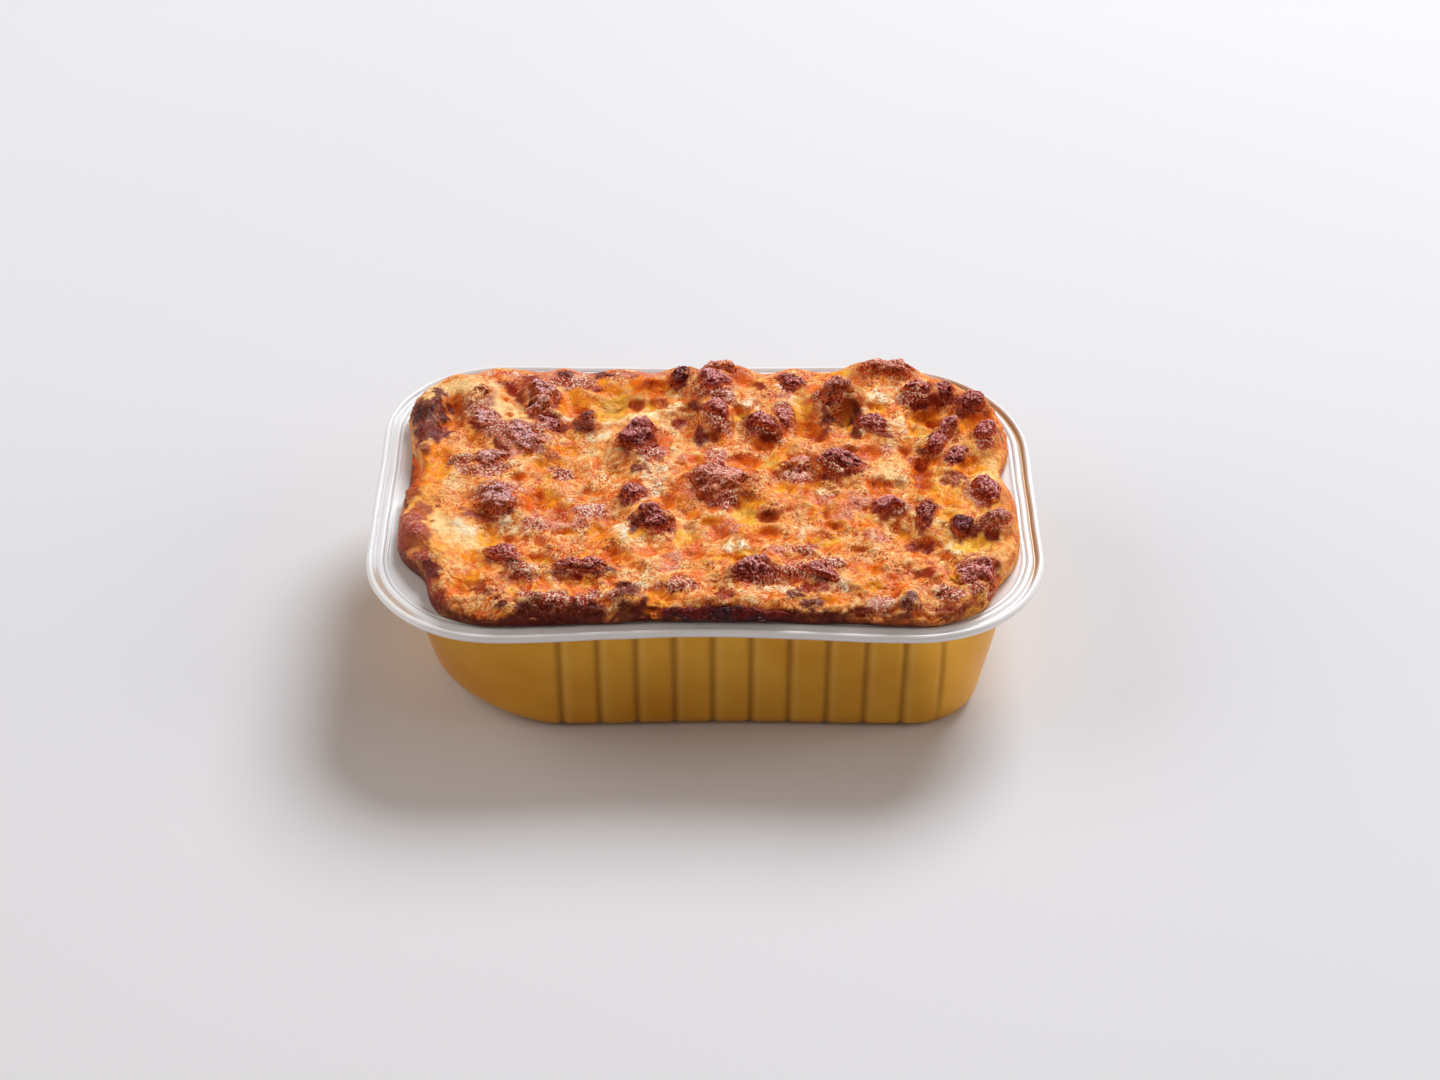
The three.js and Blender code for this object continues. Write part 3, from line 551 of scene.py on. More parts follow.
def build_tray():
    crumple = Noise(3)
    rings, heights, white = [], [], []
    marks = {"gilt_and_shade": [], "line": [], "flute_shade": [], "ridge": []}

    def add(outline, z, gold=0.0, line=0.0, is_white=True):
        rings.append(outline)
        heights.append(z)
        white.append(is_white)
        marks["gilt_and_shade"].append(np.broadcast_to(gold, len(outline)))
        marks["line"].append(np.full(len(outline), line))
        # Shares of painted shade in the flutes and of painted highlight beside them, used by the gold only
        marks["flute_shade"].append(flutes(outline) * (not is_white))
        marks["ridge"].append(flutes(outline, FLUTE_HIGHLIGHT_SHIFT) * (not is_white))

    base = wall_outline(0.0)
    for share in (0.3, 0.6, 0.8, 0.94):
        add(np.column_stack([base[:, :2] * share, base[:, 2]]), 0.0, is_white=False)
    levels = [0, 0.1, 0.3, 0.7, 1.2, 1.8, 2.6, 3.6, *np.linspace(5, WALL_TOP - 1, 22), WALL_TOP]
    for z in levels:
        wall = wall_outline(z)
        add(inset(wall, FLUTE_DEPTH * flutes(wall)), z, is_white=False)
    edge = rim_outline()
    angle = edge[:, 2]
    bright = smoothstep(np.cos(angle - math.radians(22)), 0.62, 0.86)
    faint = 0.55 * smoothstep(np.cos(angle - math.radians(212)), 0.9, 0.98)
    for inward, z, gold in rounded(RIM_SECTION):
        # Painted warm shade on the lower side of the rim's curl, in the same gold colour as the channel
        under = 0.4 * smoothstep(z, RIM_UNDERSIDE + 0.2, RIM_UNDERSIDE - 1.4)
        # Fine lines of painted shade along the rim's folds, on its top side only
        line = float(np.exp(-(((inward - RIM_CREASE_SHADES) / CREASE_SHADE_HALF_WIDTH) ** 2)).max())
        line *= z > RIM_UNDERSIDE + 0.1
        is_white = z > RIM_UNDERSIDE or inward < RIM_CURL
        add(inset(edge, inward), z, gold * np.maximum(bright, faint) + under, line, is_white)
    flange = flange_reach(edge)
    lip, lip_level = RIM_SECTION[-1][:2]
    for share in (0.2, 0.4, 0.6, 0.8, 0.95, 1.0):
        add(inset(edge, lerp(lip, flange, share)), lip_level - FLANGE_DROP * share**1.5)
    bend = inset(edge, flange + 0.5)
    add(bend, WALL_TOP - 0.4)
    lower = lining_outline(LINING_BEND)
    for share in (0.3, 0.6, 1.0):
        add(lerp(bend, lower, share), lerp(WALL_TOP - 1.2, LINING_BEND, share))
    for z in (22.0, 12.0, 8.0, 6.0, 4.0, 2.6, 1.6, BASE_THICKNESS):
        add(lining_outline(z), z)
    count = len(edge)
    loops = [np.column_stack([ring[:, :2], np.full(count, z)]) for ring, z in zip(rings, heights)]
    points = np.concatenate(loops)
    angles = np.concatenate([ring[:, 2] for ring in rings])
    dent = 0.22 * crumple.layers(points, 24.0, 2) * smoothstep(points[:, 2], 2, 14)
    points[:, 0] += dent * np.cos(angles)
    points[:, 1] += dent * np.sin(angles)
    numbers = np.arange(len(points)).reshape(len(rings), count)
    faces = stack_faces(numbers).tolist()
    kinds = np.repeat([int(white[n] and white[n + 1]) for n in range(len(rings) - 1)], count)
    faces.append(numbers[0][::-1].tolist())
    faces.append(numbers[-1].tolist())
    kinds = np.concatenate([kinds, [0, 1]])
    attributes = {key: np.concatenate(rows) for key, rows in marks.items()}
    return piece(
        "tray", points, faces, [gold_material(), white_material()], kinds, attributes,
        stands_for=["foil_tray"],
    )


# Relief and paint that the crust and the lumps share


def ripple(x, y):
    return (
        0.9 * np.sin(0.31 * x + 1.3) * np.sin(0.27 * y + 0.4)
        + 0.4 * np.sin(0.33 * x - 0.26 * y + 2.1)
        + 0.5 * np.sin(0.21 * x + 0.39 * y + 0.7) * np.cos(0.29 * x - 0.2 * y)
    )


def top_height(x, y):
    return RIM_TOP + FOOD_LEVEL + hills(x, y, RELIEF) + ripple(x, y)


# Smooth stretches of sheet, where the crust is not craggy: place, half sizes, turn, how smooth
SMOOTH = [
    (-92, 0, 8, 60, 0, 0.7),
    (-71, 40, 9, 20, 50, 0.9),
    (-85, -40, 10, 26, 30, 0.6),
    (-76, -32, 15, 6, -49, 0.8),
    (-30, 44, 16, 9, 0, 0.8),
    (-28, 29, 12, 4, 24, 0.7),
    (94, 0, 7, 60, 0, 0.8),
    (90, -50, 9, 10, 0, 0.5),
]

# Stretches of the side that stay light orange: place, half sizes, turn, how much
WARM_SIDES = [
    (-98, 5, 10, 18, 0, 1),
    (98, -30, 12, 40, 0, 0.9),
    (66, -74, 20, 6, 0, 0.7),
    (89, -60, 12, 12, 0, 0.8),
]

# Stretches of more golden cheese: place, half sizes, turn, how much
GOLDEN = [
    (84, 0, 18, 46, 0, 0.9),
    (-30, 40, 20, 14, 0, 0.6),
    (-95, 5, 6, 28, 0, 0.9),
]

# Patches of each colour as seen from the front at a height of 58: place, half sizes and turn.
# They are painted in this order, and each colour lies a little higher or lower than the crust about it.
SIGHT_LEVEL = 58.0
# Maroon and mahogany patches on the sides of folds and lumps that face away from the key lamp are partly
# painted shade, and mauve and lilac on browned tops are partly painted sheen
STAINS = [
    ("pink", 0.3, [
        (-45, 54, 38, 3), (-64, 52, 3, 1.2), (8, 55, 2.5, 4), (27, 42, 4, 3), (47, 12, 6, 2),
        (60, 10, 4, 3), (67, 6, 3, 2), (-45, -25, 12, 8), (-12, -50, 4, 3), (-10, -45, 4, 3), (-8, 5, 4, 3),
        (55, -35, 5, 4), (44, -18, 10, 8), (8, -30, 4, 3), (22, -42, 4, 3), (72, -53, 4, 2.4), (3, 8, 5, 3),
        (-64, 10, 5, 9, -50),
    ]),
    ("peach", 0.2, [
        (-78, 16, 8, 6), (45, 50, 6, 3), (30, 14, 5, 4), (40, 15, 4, 3), (85, 46, 7, 3, -30), (88, 3, 6, 5),
        (-46, -15, 6, 5), (-25, -40, 5, 3), (-20, -48, 6, 4), (-65, -57, 4, 3), (22, -18, 6, 6),
        (52, -44, 8, 6), (4, 56, 5, 5), (61, 56, 8, 4),
    ]),
    ("pale", 0.4, [
        (-73, 46, 5, 5), (-80, 44, 8, 9), (-69, 32, 18, 6, -48), (60, -5, 5, 3), (58, 40, 8, 8),
        (68, 22, 8, 5, -40), (-80, -5, 6, 5), (-78, -33, 15, 5, -49), (-22, -36, 7, 4), (-60, 4, 4, 3),
        (12, 36, 6, 4), (-36, 8, 5, 4), (8, -52, 5, 3), (46, -60, 6, 3), (64, -14, 5, 4),
    ]),
    ("cream", 0.4, [
        (-62, -29, 7, 5), (-48, 29, 4, 2.5), (-30, 27, 7, 2.4, 28), (-20, 30, 7, 2.6), (-12, 33, 3.5, 3),
        (-36, 18, 5, 3, 30), (-12, 2, 3.5, 3), (16, 37, 4, 3), (60, 41, 5, 5), (66, 25, 5, 4, -40),
        (-17, -8, 4, 8), (-27, -33, 3, 4), (-50, -48, 6, 4), (-17, -58, 5, 2.6), (32, -33, 4, 4),
        (10, -40, 5, 3), (22, -60, 6, 3.5), (45, -60, 4, 2), (78, -42, 5, 3), (-76, -30, 9, 2.6, -49),
    ]),
    ("straw", -0.8, [(22, 4, 3, 4), (-30, 35, 5, 8), (13, 29, 4, 3), (49, 46, 4, 2)]),
    ("yellow", -0.6, [
        (-35.5, 33, 1.6, 8, 12), (-18, 35, 2.2, 3), (13, 30, 4, 3), (32, 32, 4, 7), (70, 21, 3, 3),
        (-68, -36, 4, 5), (-6, -36, 3.5, 5), (13, -24, 6, 4, -45), (36, -38, 5, 3), (5, -45, 4, 2),
        (14, -43, 4, 2), (85, -38, 5, 8, -35), (-58, -65, 1, 6, 20), (-88, 32, 1.2, 8, 17),
        (44, 55, 4, 1.6), (-50, -47, 4, 2.4),
    ]),
    ("gold", -0.9, [
        (-44, 38, 6, 8), (-93, 3, 5, 11), (83, 3, 5, 5), (-51, -15, 5, 5), (-21, 48, 5, 4),
        (12, -47, 6, 3.4), (-36, 47, 4, 4), (86, 2, 4, 5), (-45, 11, 4, 3), (-20, -32, 4, 5),
        (14, -17, 5, 3), (-30, 45, 6, 4), (-87, 10, 4, 5), (-50, 3, 5, 4), (47, 27, 3, 6), (34, 22, 4, 4),
        (57, 34, 3, 3), (72, 28, 6, 4), (86, 25, 4, 5), (-73, -45, 2, 4), (-34, -33, 3, 5),
        (-55, -47, 3, 2), (-12, -64, 5, 3), (-74, -58, 5, 6), (-14, -66, 4, 5), (25, -10, 4, 3),
        (35, -8, 2.4, 6), (76, -13, 6, 6), (78, -25, 5, 4), (62, -35, 3, 4), (78, -53, 2.5, 5),
        (52, -60, 4, 3), (40, -67, 5, 2), (-86, 0, 3, 10), (1, -28, 4, 3),
    ]),
    ("tan", 0.0, [
        (91, -57, 5, 4, 30), (97, 20, 4, 8), (97, -15, 2.2, 12, -6), (70, -37, 6, 1.6, 10), (60, -62, 5, 3),
        (95, -58, 3, 8, 10), (65, -75, 4, 3), (-86, -14, 4, 8), (90, 44, 8, 3, -50), (-28, 0, 5, 3),
    ]),
    ("orange", -1.1, [
        (-83.5, 36, 3, 8), (-85, 24, 4, 3), (-66, 39, 1.2, 1), (-65, 30, 1.2, 1), (-41, 31, 4, 4),
        (-18, 46, 7, 6), (-95, 0, 3, 10), (13, 50, 3, 3), (38, 45, 3.5, 4), (10, 33, 3, 3), (92, 28, 4, 5),
        (75, 5, 3, 3), (70, 2, 3, 3), (13, 4, 5, 4), (28, 5, 3, 3), (-94, -3, 4, 8), (-54, -15, 2.5, 6),
        (-13, -18, 3, 4), (-28, -44, 4, 4), (-18, -43, 3, 3), (-62, -37, 3, 1.5), (-52, -38, 3, 1.5),
        (-16, -72, 3, 1.5), (41, -30, 3, 2), (55, -8, 3, 3), (56, -12, 3, 2), (74, -45, 3, 2),
        (20, -33, 4, 3), (-76, -61, 2.4, 2.4), (-4, -24, 3, 2), (-60, -4, 3, 2),
    ]),
    ("ember", -0.9, [
        (-35, 3, 1.6, 4), (-18, 20, 4.5, 1.6, -30), (-13, 15, 3, 4), (-3, 5, 3, 3), (6, 36, 3, 2),
        (20, 13, 4, 3), (53, 9, 5, 4), (65, 10, 2, 2), (35, 6, 4, 3), (-45, -33, 5, 1.6), (-24, -7, 5, 2),
        (-3, -43, 4, 3), (5, -5, 4, 3), (3, -20, 3, 2), (10, -20, 2, 2), (38, -23, 1.6, 4), (4, -33, 3, 3),
        (17, -38, 3, 2), (13, -58, 4, 2), (53, -52, 4, 2), (58, -56, 3, 2), (48, -42, 3, 1.3),
        (-56, -20, 2, 3), (-38, -12, 2, 2),
    ]),
    ("deep", -1.4, [
        (-23, 36, 3, 3), (-15, 37, 2.5, 4), (37, 18, 3, 3), (47, 11, 3, 1.5), (76, 25, 3, 3),
        (21, -25, 4, 3), (70, -5, 3, 8), (-25, -60, 3, 2),
    ]),
    ("brown", 0.0, [
        (-63, 47, 4, 3, -50), (-94, -12, 3, 5), (-92, -34, 6, 11), (-88, -53, 5, 10, 22), (-60, -55, 3, 2),
        (-42, -56, 5, 2), (-68, -62, 4, 3), (80, -5, 5, 4), (75, -72, 6, 3), (85, -70, 5, 4), (1, 55, 3, 4),
        (-90, -24, 3, 6),
    ]),
    ("rust", -0.3, [
        (-58, 50, 4.5, 4), (-88, 18, 4, 3), (-9, 25, 3, 3), (-81, -66, 4, 6), (90, -18, 3, 3),
        (68, -41, 5, 3), (34, -61, 6, 3), (6, -64, 3, 3),
    ]),
    ("red", -0.5, [
        (-65, 44, 9.5, 1.8, -58), (-50, 37, 1.5, 4, 10), (-40, 47, 2, 2), (-36, 45, 2, 1.5), (-15, 8, 2, 5),
        (18, 48, 3, 3), (3, 18, 2.5, 3), (26, 25, 3, 6), (59, 20, 6, 2.2, -48), (40, -4, 3, 2),
        (-70, -25, 9, 2, -30), (-76, -74, 2, 2), (58, -23, 5, 4), (68, -54, 4, 3), (-56, 30, 3, 3),
    ]),
    ("dusk", 0.8, [
        (-76, 36, 4.5, 5), (-80, 5, 3, 4), (-93, 12, 3, 3), (-57, -51, 6, 2.5, -50), (-52, -65, 3, 2, 45),
        (92, -28, 4, 5),
    ]),
    ("lump", 0.8, [
        (-92, -29, 3, 5), (-88, -46, 4, 3, -50), (-54, 32, 6.5, 3.5, -45), (-55, 22, 3, 4), (-45, 49, 7, 4),
        (-47, -2, 4, 3), (28, 48, 4, 4), (43, 41, 5, 4), (20, 20, 7, 2.5, -45), (70, 40, 4.5, 5),
        (92, 18, 3.5, 5), (44, 3, 7, 5), (5, -15, 5, 5), (32, -42, 3, 3), (16, -53, 6, 5),
        (38, -48, 2.5, 2), (42, -48, 2.5, 2), (85, -50, 6, 4), (75, -63, 5, 3), (0, 56, 2.4, 4),
    ]),
    ("mauve", 0.8, [
        (-65, 20, 16, 4, -37), (-53, 18, 4, 2), (-70, 1, 6, 4.4), (-20, 13, 10, 3.6, -60),
        (5, 42, 6, 3.5, -40), (4, 28, 7, 3, -63), (25, 35, 2.5, 3), (26, 27, 1.6, 2.5), (55, 25, 3, 3),
        (4, 8, 4, 3), (31, -2, 5, 4), (-66, -12, 6, 5), (-36, -22, 4, 4), (-54, -28, 4, 3),
        (-23, -13, 3.5, 4), (-8, -59, 5, 3), (61, -20, 3, 3), (83, -30, 3, 2), (88, -12, 4, 5),
        (28, -52, 4, 3), (83, -56, 3, 2), (90, -52, 4, 3),
    ]),
    ("lilac", 0.6, [(-54, 43, 5, 4), (54, -69, 4, 4), (-59, 15, 7, 2.2, -37), (-69, 2, 4, 2.4)]),
    ("maroon", 0.0, [
        (-86, 31, 1.6, 6), (-48, 23, 3, 2), (-67, 13, 6, 1.6, -59), (-76, 25, 2, 3), (-26, 14, 3, 6),
        (-22, 1, 4, 2), (-9, 47, 3, 4), (-3, 35, 3, 3), (-1, 18, 2.5, 7, -5), (31, 46, 2, 2),
        (40, 27, 2.5, 6), (5, 23, 1.6, 1.6), (50, 20, 2.5, 4), (71, 35, 4, 2), (79, 40, 5, 5),
        (87, 33, 5, 5), (77, 19, 12, 2.4, 65), (71, 10, 3, 3), (46, -2, 4, 2), (-96, -18, 2, 3),
        (-87, -27, 1, 1), (-85, -20, 1, 1), (-22, -28, 2, 4), (70.5, -25, 9, 2.6, 74), (82, -33, 5, 5),
        (90, -35, 3, 3), (48, -72, 4, 3), (-26, -15, 2, 4),
    ]),
    ("purple", 0.4, [
        (-47, 54, 3, 1.5), (-34, 54, 3, 1.5), (-93, 31, 7, 9), (-91, 20, 6, 4), (-89.5, 42, 2.2, 5),
        (-86, -51, 4, 3, -45), (-40, 25, 3.5, 4.5), (-69, 4, 1.2, 1), (-8, 52, 2.5, 2), (15, 26, 3, 3),
        (81, 7.5, 5, 2, 66), (-66, -12, 1.6, 1.6), (-66, -21, 5, 3), (-16, -27, 6, 5), (-64, -45, 4, 4),
        (-37, -52, 9, 2.5, 5), (-62, -68, 2, 2), (-24, -62, 4, 3), (36, -55, 4, 3), (63, -68, 2, 5),
        (33, -68, 3, 1.5), (28, -64, 3, 1.5),
    ]),
    ("lump", 0.4, [(84, -62, 4, 3)]),
    ("mahogany", 0.0, [(50, 27, 2.5, 8, -12), (-44, -72, 17, 7), (-23, -71, 6, 6), (32, -74, 13, 3)]),
    ("black", 0.0, [(-93, 32, 3.5, 5), (38, -56, 2, 1.5)]),
    ("lump", 0.6, [(-48, -65.5, 8, 2.6, -8), (-34, -65, 7, 2.4, 12)]),
]


def seen_at(points):
    """Where the line from the camera through each point crosses the level that the patches are placed on"""
    camera = np.array(CAMERA_PLACE)
    share = (camera[2] - SIGHT_LEVEL) / (camera[2] - points[:, 2:3])
    return (camera + (points - camera) * share)[:, :2].T


def patches_near(x, y):
    """Each patch in turn: its colour, its rise, and the distance from it in its half sizes"""
    for colour, rise, patches in STAINS:
        growth = BROWNED_GROWTH if colour in BROWNED else 1.0
        for patch in patches:
            yield colour, rise, distance_in(x, y, *patch) / growth


def smoothness(points):
    return np.clip(hills(points[:, 0], points[:, 1], SMOOTH), 0, 0.9)


# Relief: rows of y over which it dies away at the back, and how far patches may rise or sink
BACK_EDGE = (44, 56)
STANDS_LIMITS = (-3.4, 2.6)

# Paint: how far and how finely patches are bent, the flecks' size, the rise below which a patch is sauce,
# the crests' colour of painted highlight, and what places are multiplied by:
# hollows, steep slopes, valleys and cracks for painted shade (hollows and valleys also for deeper sauce),
# golden stretches and dark colours for their own colour
WARP = 1.7
WARP_SIZE = 3.4
FLECK_SIZE = 4.6
SAUCE_LEVEL = -0.4
CREST_HIGHLIGHT = srgb(255, 228, 188)
HOLLOW_SHADE = (0.86, 0.38, 0.06)
STEEP_SHADE = (0.76, 0.36, 0.14)
VALLEY_SHADE = (0.94, 0.62, 0.2)
GOLDEN_SHADE = (1.0, 1.04, 0.6)
DEEP_SHADE = (0.95, 0.6, 0.25)
CRACK_SHADE = (0.66, 0.4, 0.38)
LIGHTNESS = (0.3, 0.6, 0.1)

BEND = Noise(21)
BROAD = Noise(22)
MEDIUM = Noise(23)
SMALL = Noise(24)
PATCH = Noise(25)
TONE = Noise(31)


def relief_at(points):
    """How far the crust stands out at each point in millimetres, and the same from about -1 to 1"""
    bent = points + 1.8 * np.column_stack([BEND.at(points / 7 + 40 * k) for k in range(3)])
    broad = BROAD.layers(bent, 12.0, 2)
    medium = MEDIUM.layers(bent, 5.6, 2, fold=True)
    small = SMALL.layers(bent, 2.6, 2, fold=True)
    lumpy = smoothstep(BROAD.layers(points + 70, 22.0, 2), -0.5, 0.4)
    rough = (1 - smoothness(points)) * lerp(0.4, 1.0, lumpy)
    stands = np.zeros(len(points))
    ragged = 0.25 * PATCH.layers(points, 4.0, 2)
    for _, rise, apart in patches_near(*seen_at(points)):
        stands += rise * smoothstep(apart + ragged, 1.4, 0.2)
    crease = smoothstep(small, -0.4, -0.75) * lerp(0.4, 1.0, rough)
    detail = lerp(0.1, 1.0, rough) * (0.9 * broad + 0.62 * medium)
    detail += lerp(0.4, 1.0, rough) * 0.36 * small - 0.2 * crease
    level = rough * (0.3 * broad + 0.7 * medium) + lerp(0.5, 1.0, rough) * 0.6 * small
    level += 0.3 * stands - 0.4 * crease
    back_edge = smoothstep(points[:, 1], *BACK_EDGE)
    stood = np.clip(1.5 * stands, *STANDS_LIMITS)
    return (detail + stood) * (1 - 0.85 * back_edge) - 0.8 * back_edge, level


def cloud(points, shift, size, low, high, count=3):
    """Soft clouds of noise, from 0 to 1"""
    return smoothstep(TONE.layers(points + shift, size, count), low, high)


def paint(points, up, level):
    """Colour, pale flecks (partly painted glints), oil and grit of the baked top, where up is the normal's
    rise
    """
    x, y = seen_at(points)
    x = x + WARP * SMALL.at(points / WARP_SIZE)
    y = y + WARP * SMALL.at(points / WARP_SIZE + 50)
    smooth = smoothness(points)
    fleck = TONE.layers(points + 90, FLECK_SIZE, 3)
    tone = TONE.layers(points, 22.0, 3)
    tint = blend(PALETTE["peach"], PALETTE["pale"], smoothstep(tone + 0.5 * fleck, -0.2, 0.8))
    tint = blend(tint, PALETTE["tan"], 0.7 * cloud(points, 50, 15.0, 0.0, 0.5, 2))
    browned = np.zeros(len(points))
    sauced = np.zeros(len(points))
    plain = np.zeros(len(points))
    for colour, rise, apart in patches_near(x, y):
        share = smoothstep(apart + 0.45 * fleck, 1.2, 0.7)
        tint = blend(tint, PALETTE[colour], 0.94 * share)
        browned = lerp(browned, float(colour in BROWNED), share)
        sauced = lerp(sauced, float(rise < SAUCE_LEVEL), share)
        plain = lerp(plain, float(colour in PLAIN), share)
    lively = (1 - np.maximum(0.8 * browned, 0.9 * plain)) * (1 - 0.6 * smooth)
    mottled = cloud(points, 230, 6.4, -0.1, 0.5) * lively
    glow = blend(PALETTE["orange"], PALETTE["gold"], smoothstep(fleck, -0.4, 0.4))
    tint = blend(tint, glow, 0.66 * mottled)
    ember = cloud(points, 140, 3.4, 0.3, 0.7) * lively * (1 - 0.7 * sauced)
    tint = blend(tint, PALETTE["ember"], 0.5 * ember)
    toasted = cloud(points, 190, 4.2, 0.42, 0.8) * (1 - np.maximum(sauced, plain)) * (1 - smooth)
    tint = blend(tint, PALETTE["dusk"], 0.5 * toasted)
    # Painted highlight on the crests
    pale = smoothstep(level, 0.15, 0.75)
    tint = blend(tint, CREST_HIGHLIGHT, 0.4 * pale * (1 - 0.8 * plain) * (1 - 0.7 * sauced))
    # Partly painted shade in the hollows, partly the deeper colour of oily sauce in them
    hollow = smoothstep(level, 0.0, -0.6) * (1 - 0.5 * sauced)
    tint = shaded(tint, HOLLOW_SHADE, hollow)
    # Painted shade on steep slopes
    tint = shaded(tint, STEEP_SHADE, smoothstep(up, 0.88, 0.45) * (1 - 0.8 * sauced))
    # Painted shade in the broad valleys of the relief, over their deeper orange sauce
    low = smoothstep(hills(points[:, 0], points[:, 1], RELIEF), -0.4, -3.0)
    tint = shaded(tint, VALLEY_SHADE, 0.7 * low * (1 - plain) * (1 - 0.5 * sauced))
    tint = shaded(tint, GOLDEN_SHADE, hills(points[:, 0], points[:, 1], GOLDEN) * lively)
    light = tint @ LIGHTNESS
    tint = shaded(tint, DEEP_SHADE, 1 - smoothstep(light, 0.02, 0.26))
    # Share of pale flecks, partly painted glints, most on light crests and browned patches
    fleck_and_glint = (0.3 + 0.4 * pale + 0.6 * browned) * (1 - 0.8 * sauced) * (1 - 0.6 * mottled)
    fleck_and_glint *= (1 - 0.6 * plain) * (1 - 0.7 * smooth) * lerp(0.3, 1.0, smoothstep(light, 0.02, 0.2))
    oil = 0.4 * hollow + 0.6 * sauced + 0.3 * mottled
    grit = (1 - smooth) * (1 - 0.8 * sauced) * (1 - 0.4 * mottled)
    return tint, np.clip(fleck_and_glint, 0, 1), np.clip(oil, 0, 1), grit


# The lumps of browned mince: read off the frame, then made craggy


def read_lumps():
    """Name, number, centre, turn, half sizes and rise above the crust's surface of each crumble in the
    frame
    """
    lumps = []
    for name in sorted(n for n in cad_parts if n.startswith("mince_crumble")):
        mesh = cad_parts[name].data
        points = np.array([v.co for v in mesh.vertices]) / MM
        flat = points[:, :2]
        _, axes = np.linalg.eigh(np.cov((flat - flat.mean(0)).T))
        across, along = axes.T
        spans = [flat @ axis for axis in (along, across)]
        centre = sum(axis * (span.max() + span.min()) / 2 for axis, span in zip((along, across), spans))
        half = [(span.max() - span.min()) / 2 for span in spans]
        lumps.append({
            "name": name,
            "number": int(name.rsplit("_", 1)[1]),
            "at": centre,
            "turn": math.degrees(math.atan2(along[1], along[0])),
            "half": half,
            "rise": points[:, 2].max() - top_height(*centre),
        })
    return lumps


LUMPS = read_lumps()
LUMP_RINGS = 34
LUMP_ROUND = 72
LUMP_REACH = 1.3
SKIRT = 0.5
GLINT = srgb(246, 208, 204)

# Colours of the lumps' tops and flanks, and the numbers of the lumps that have them. The flank colour is
# partly painted shade.
LUMP_LOOKS = [
    ("peach", "brown", (1,)),
    ("dusk", "brown", (18, 32)),
    ("pink", "brown", (14, 20, 25, 26)),
    ("lilac", "brown", (2, 3, 5, 6, 7, 8)),
    ("lump", "maroon", (4, 10, 11, 21, 22, 23, 27, 39, 41)),
    ("lump", "rust", (9, 24, 40)),
    ("red", "maroon", (29,)),
    ("mauve", "maroon", (12, 33, 37)),
    ("purple", "maroon", (13, 30, 36)),
    ("mauve", "red", (15, 16, 17, 19, 28, 38)),
    ("mauve", "rust", (31, 34, 35)),
]


def skirt(lump, reach):
    """How far the crust heaves up about a lump, at so many half sizes from its middle"""
    return SKIRT * lump["rise"] * smoothstep(reach, 2.0, 0.7)


def on_crust(x, y, edge):
    """Keeps points within the edge of the food. Also gives the height there of the crust without its crags,
    which rounds down over the shoulder."""
    apart = np.hypot(x[:, None] - edge[:, 0], y[:, None] - edge[:, 1])
    nearest = edge[apart.argmin(1)]
    angle = nearest[:, 2]
    inward = (nearest[:, 0] - x) * np.cos(angle) + (nearest[:, 1] - y) * np.sin(angle)
    beyond = np.clip(-inward, 0, None)
    x = x - beyond * np.cos(angle)
    y = y - beyond * np.sin(angle)
    share = 1 - np.clip(inward / SHOULDER, 0, 1)
    return x, y, lerp(SIDE_FOOT, top_height(x, y), lerp(WIDEST, 1.0, np.sqrt(1 - share**2)))


def lump_look(number):
    return next((top, flank) for top, flank, numbers in LUMP_LOOKS if number in numbers)


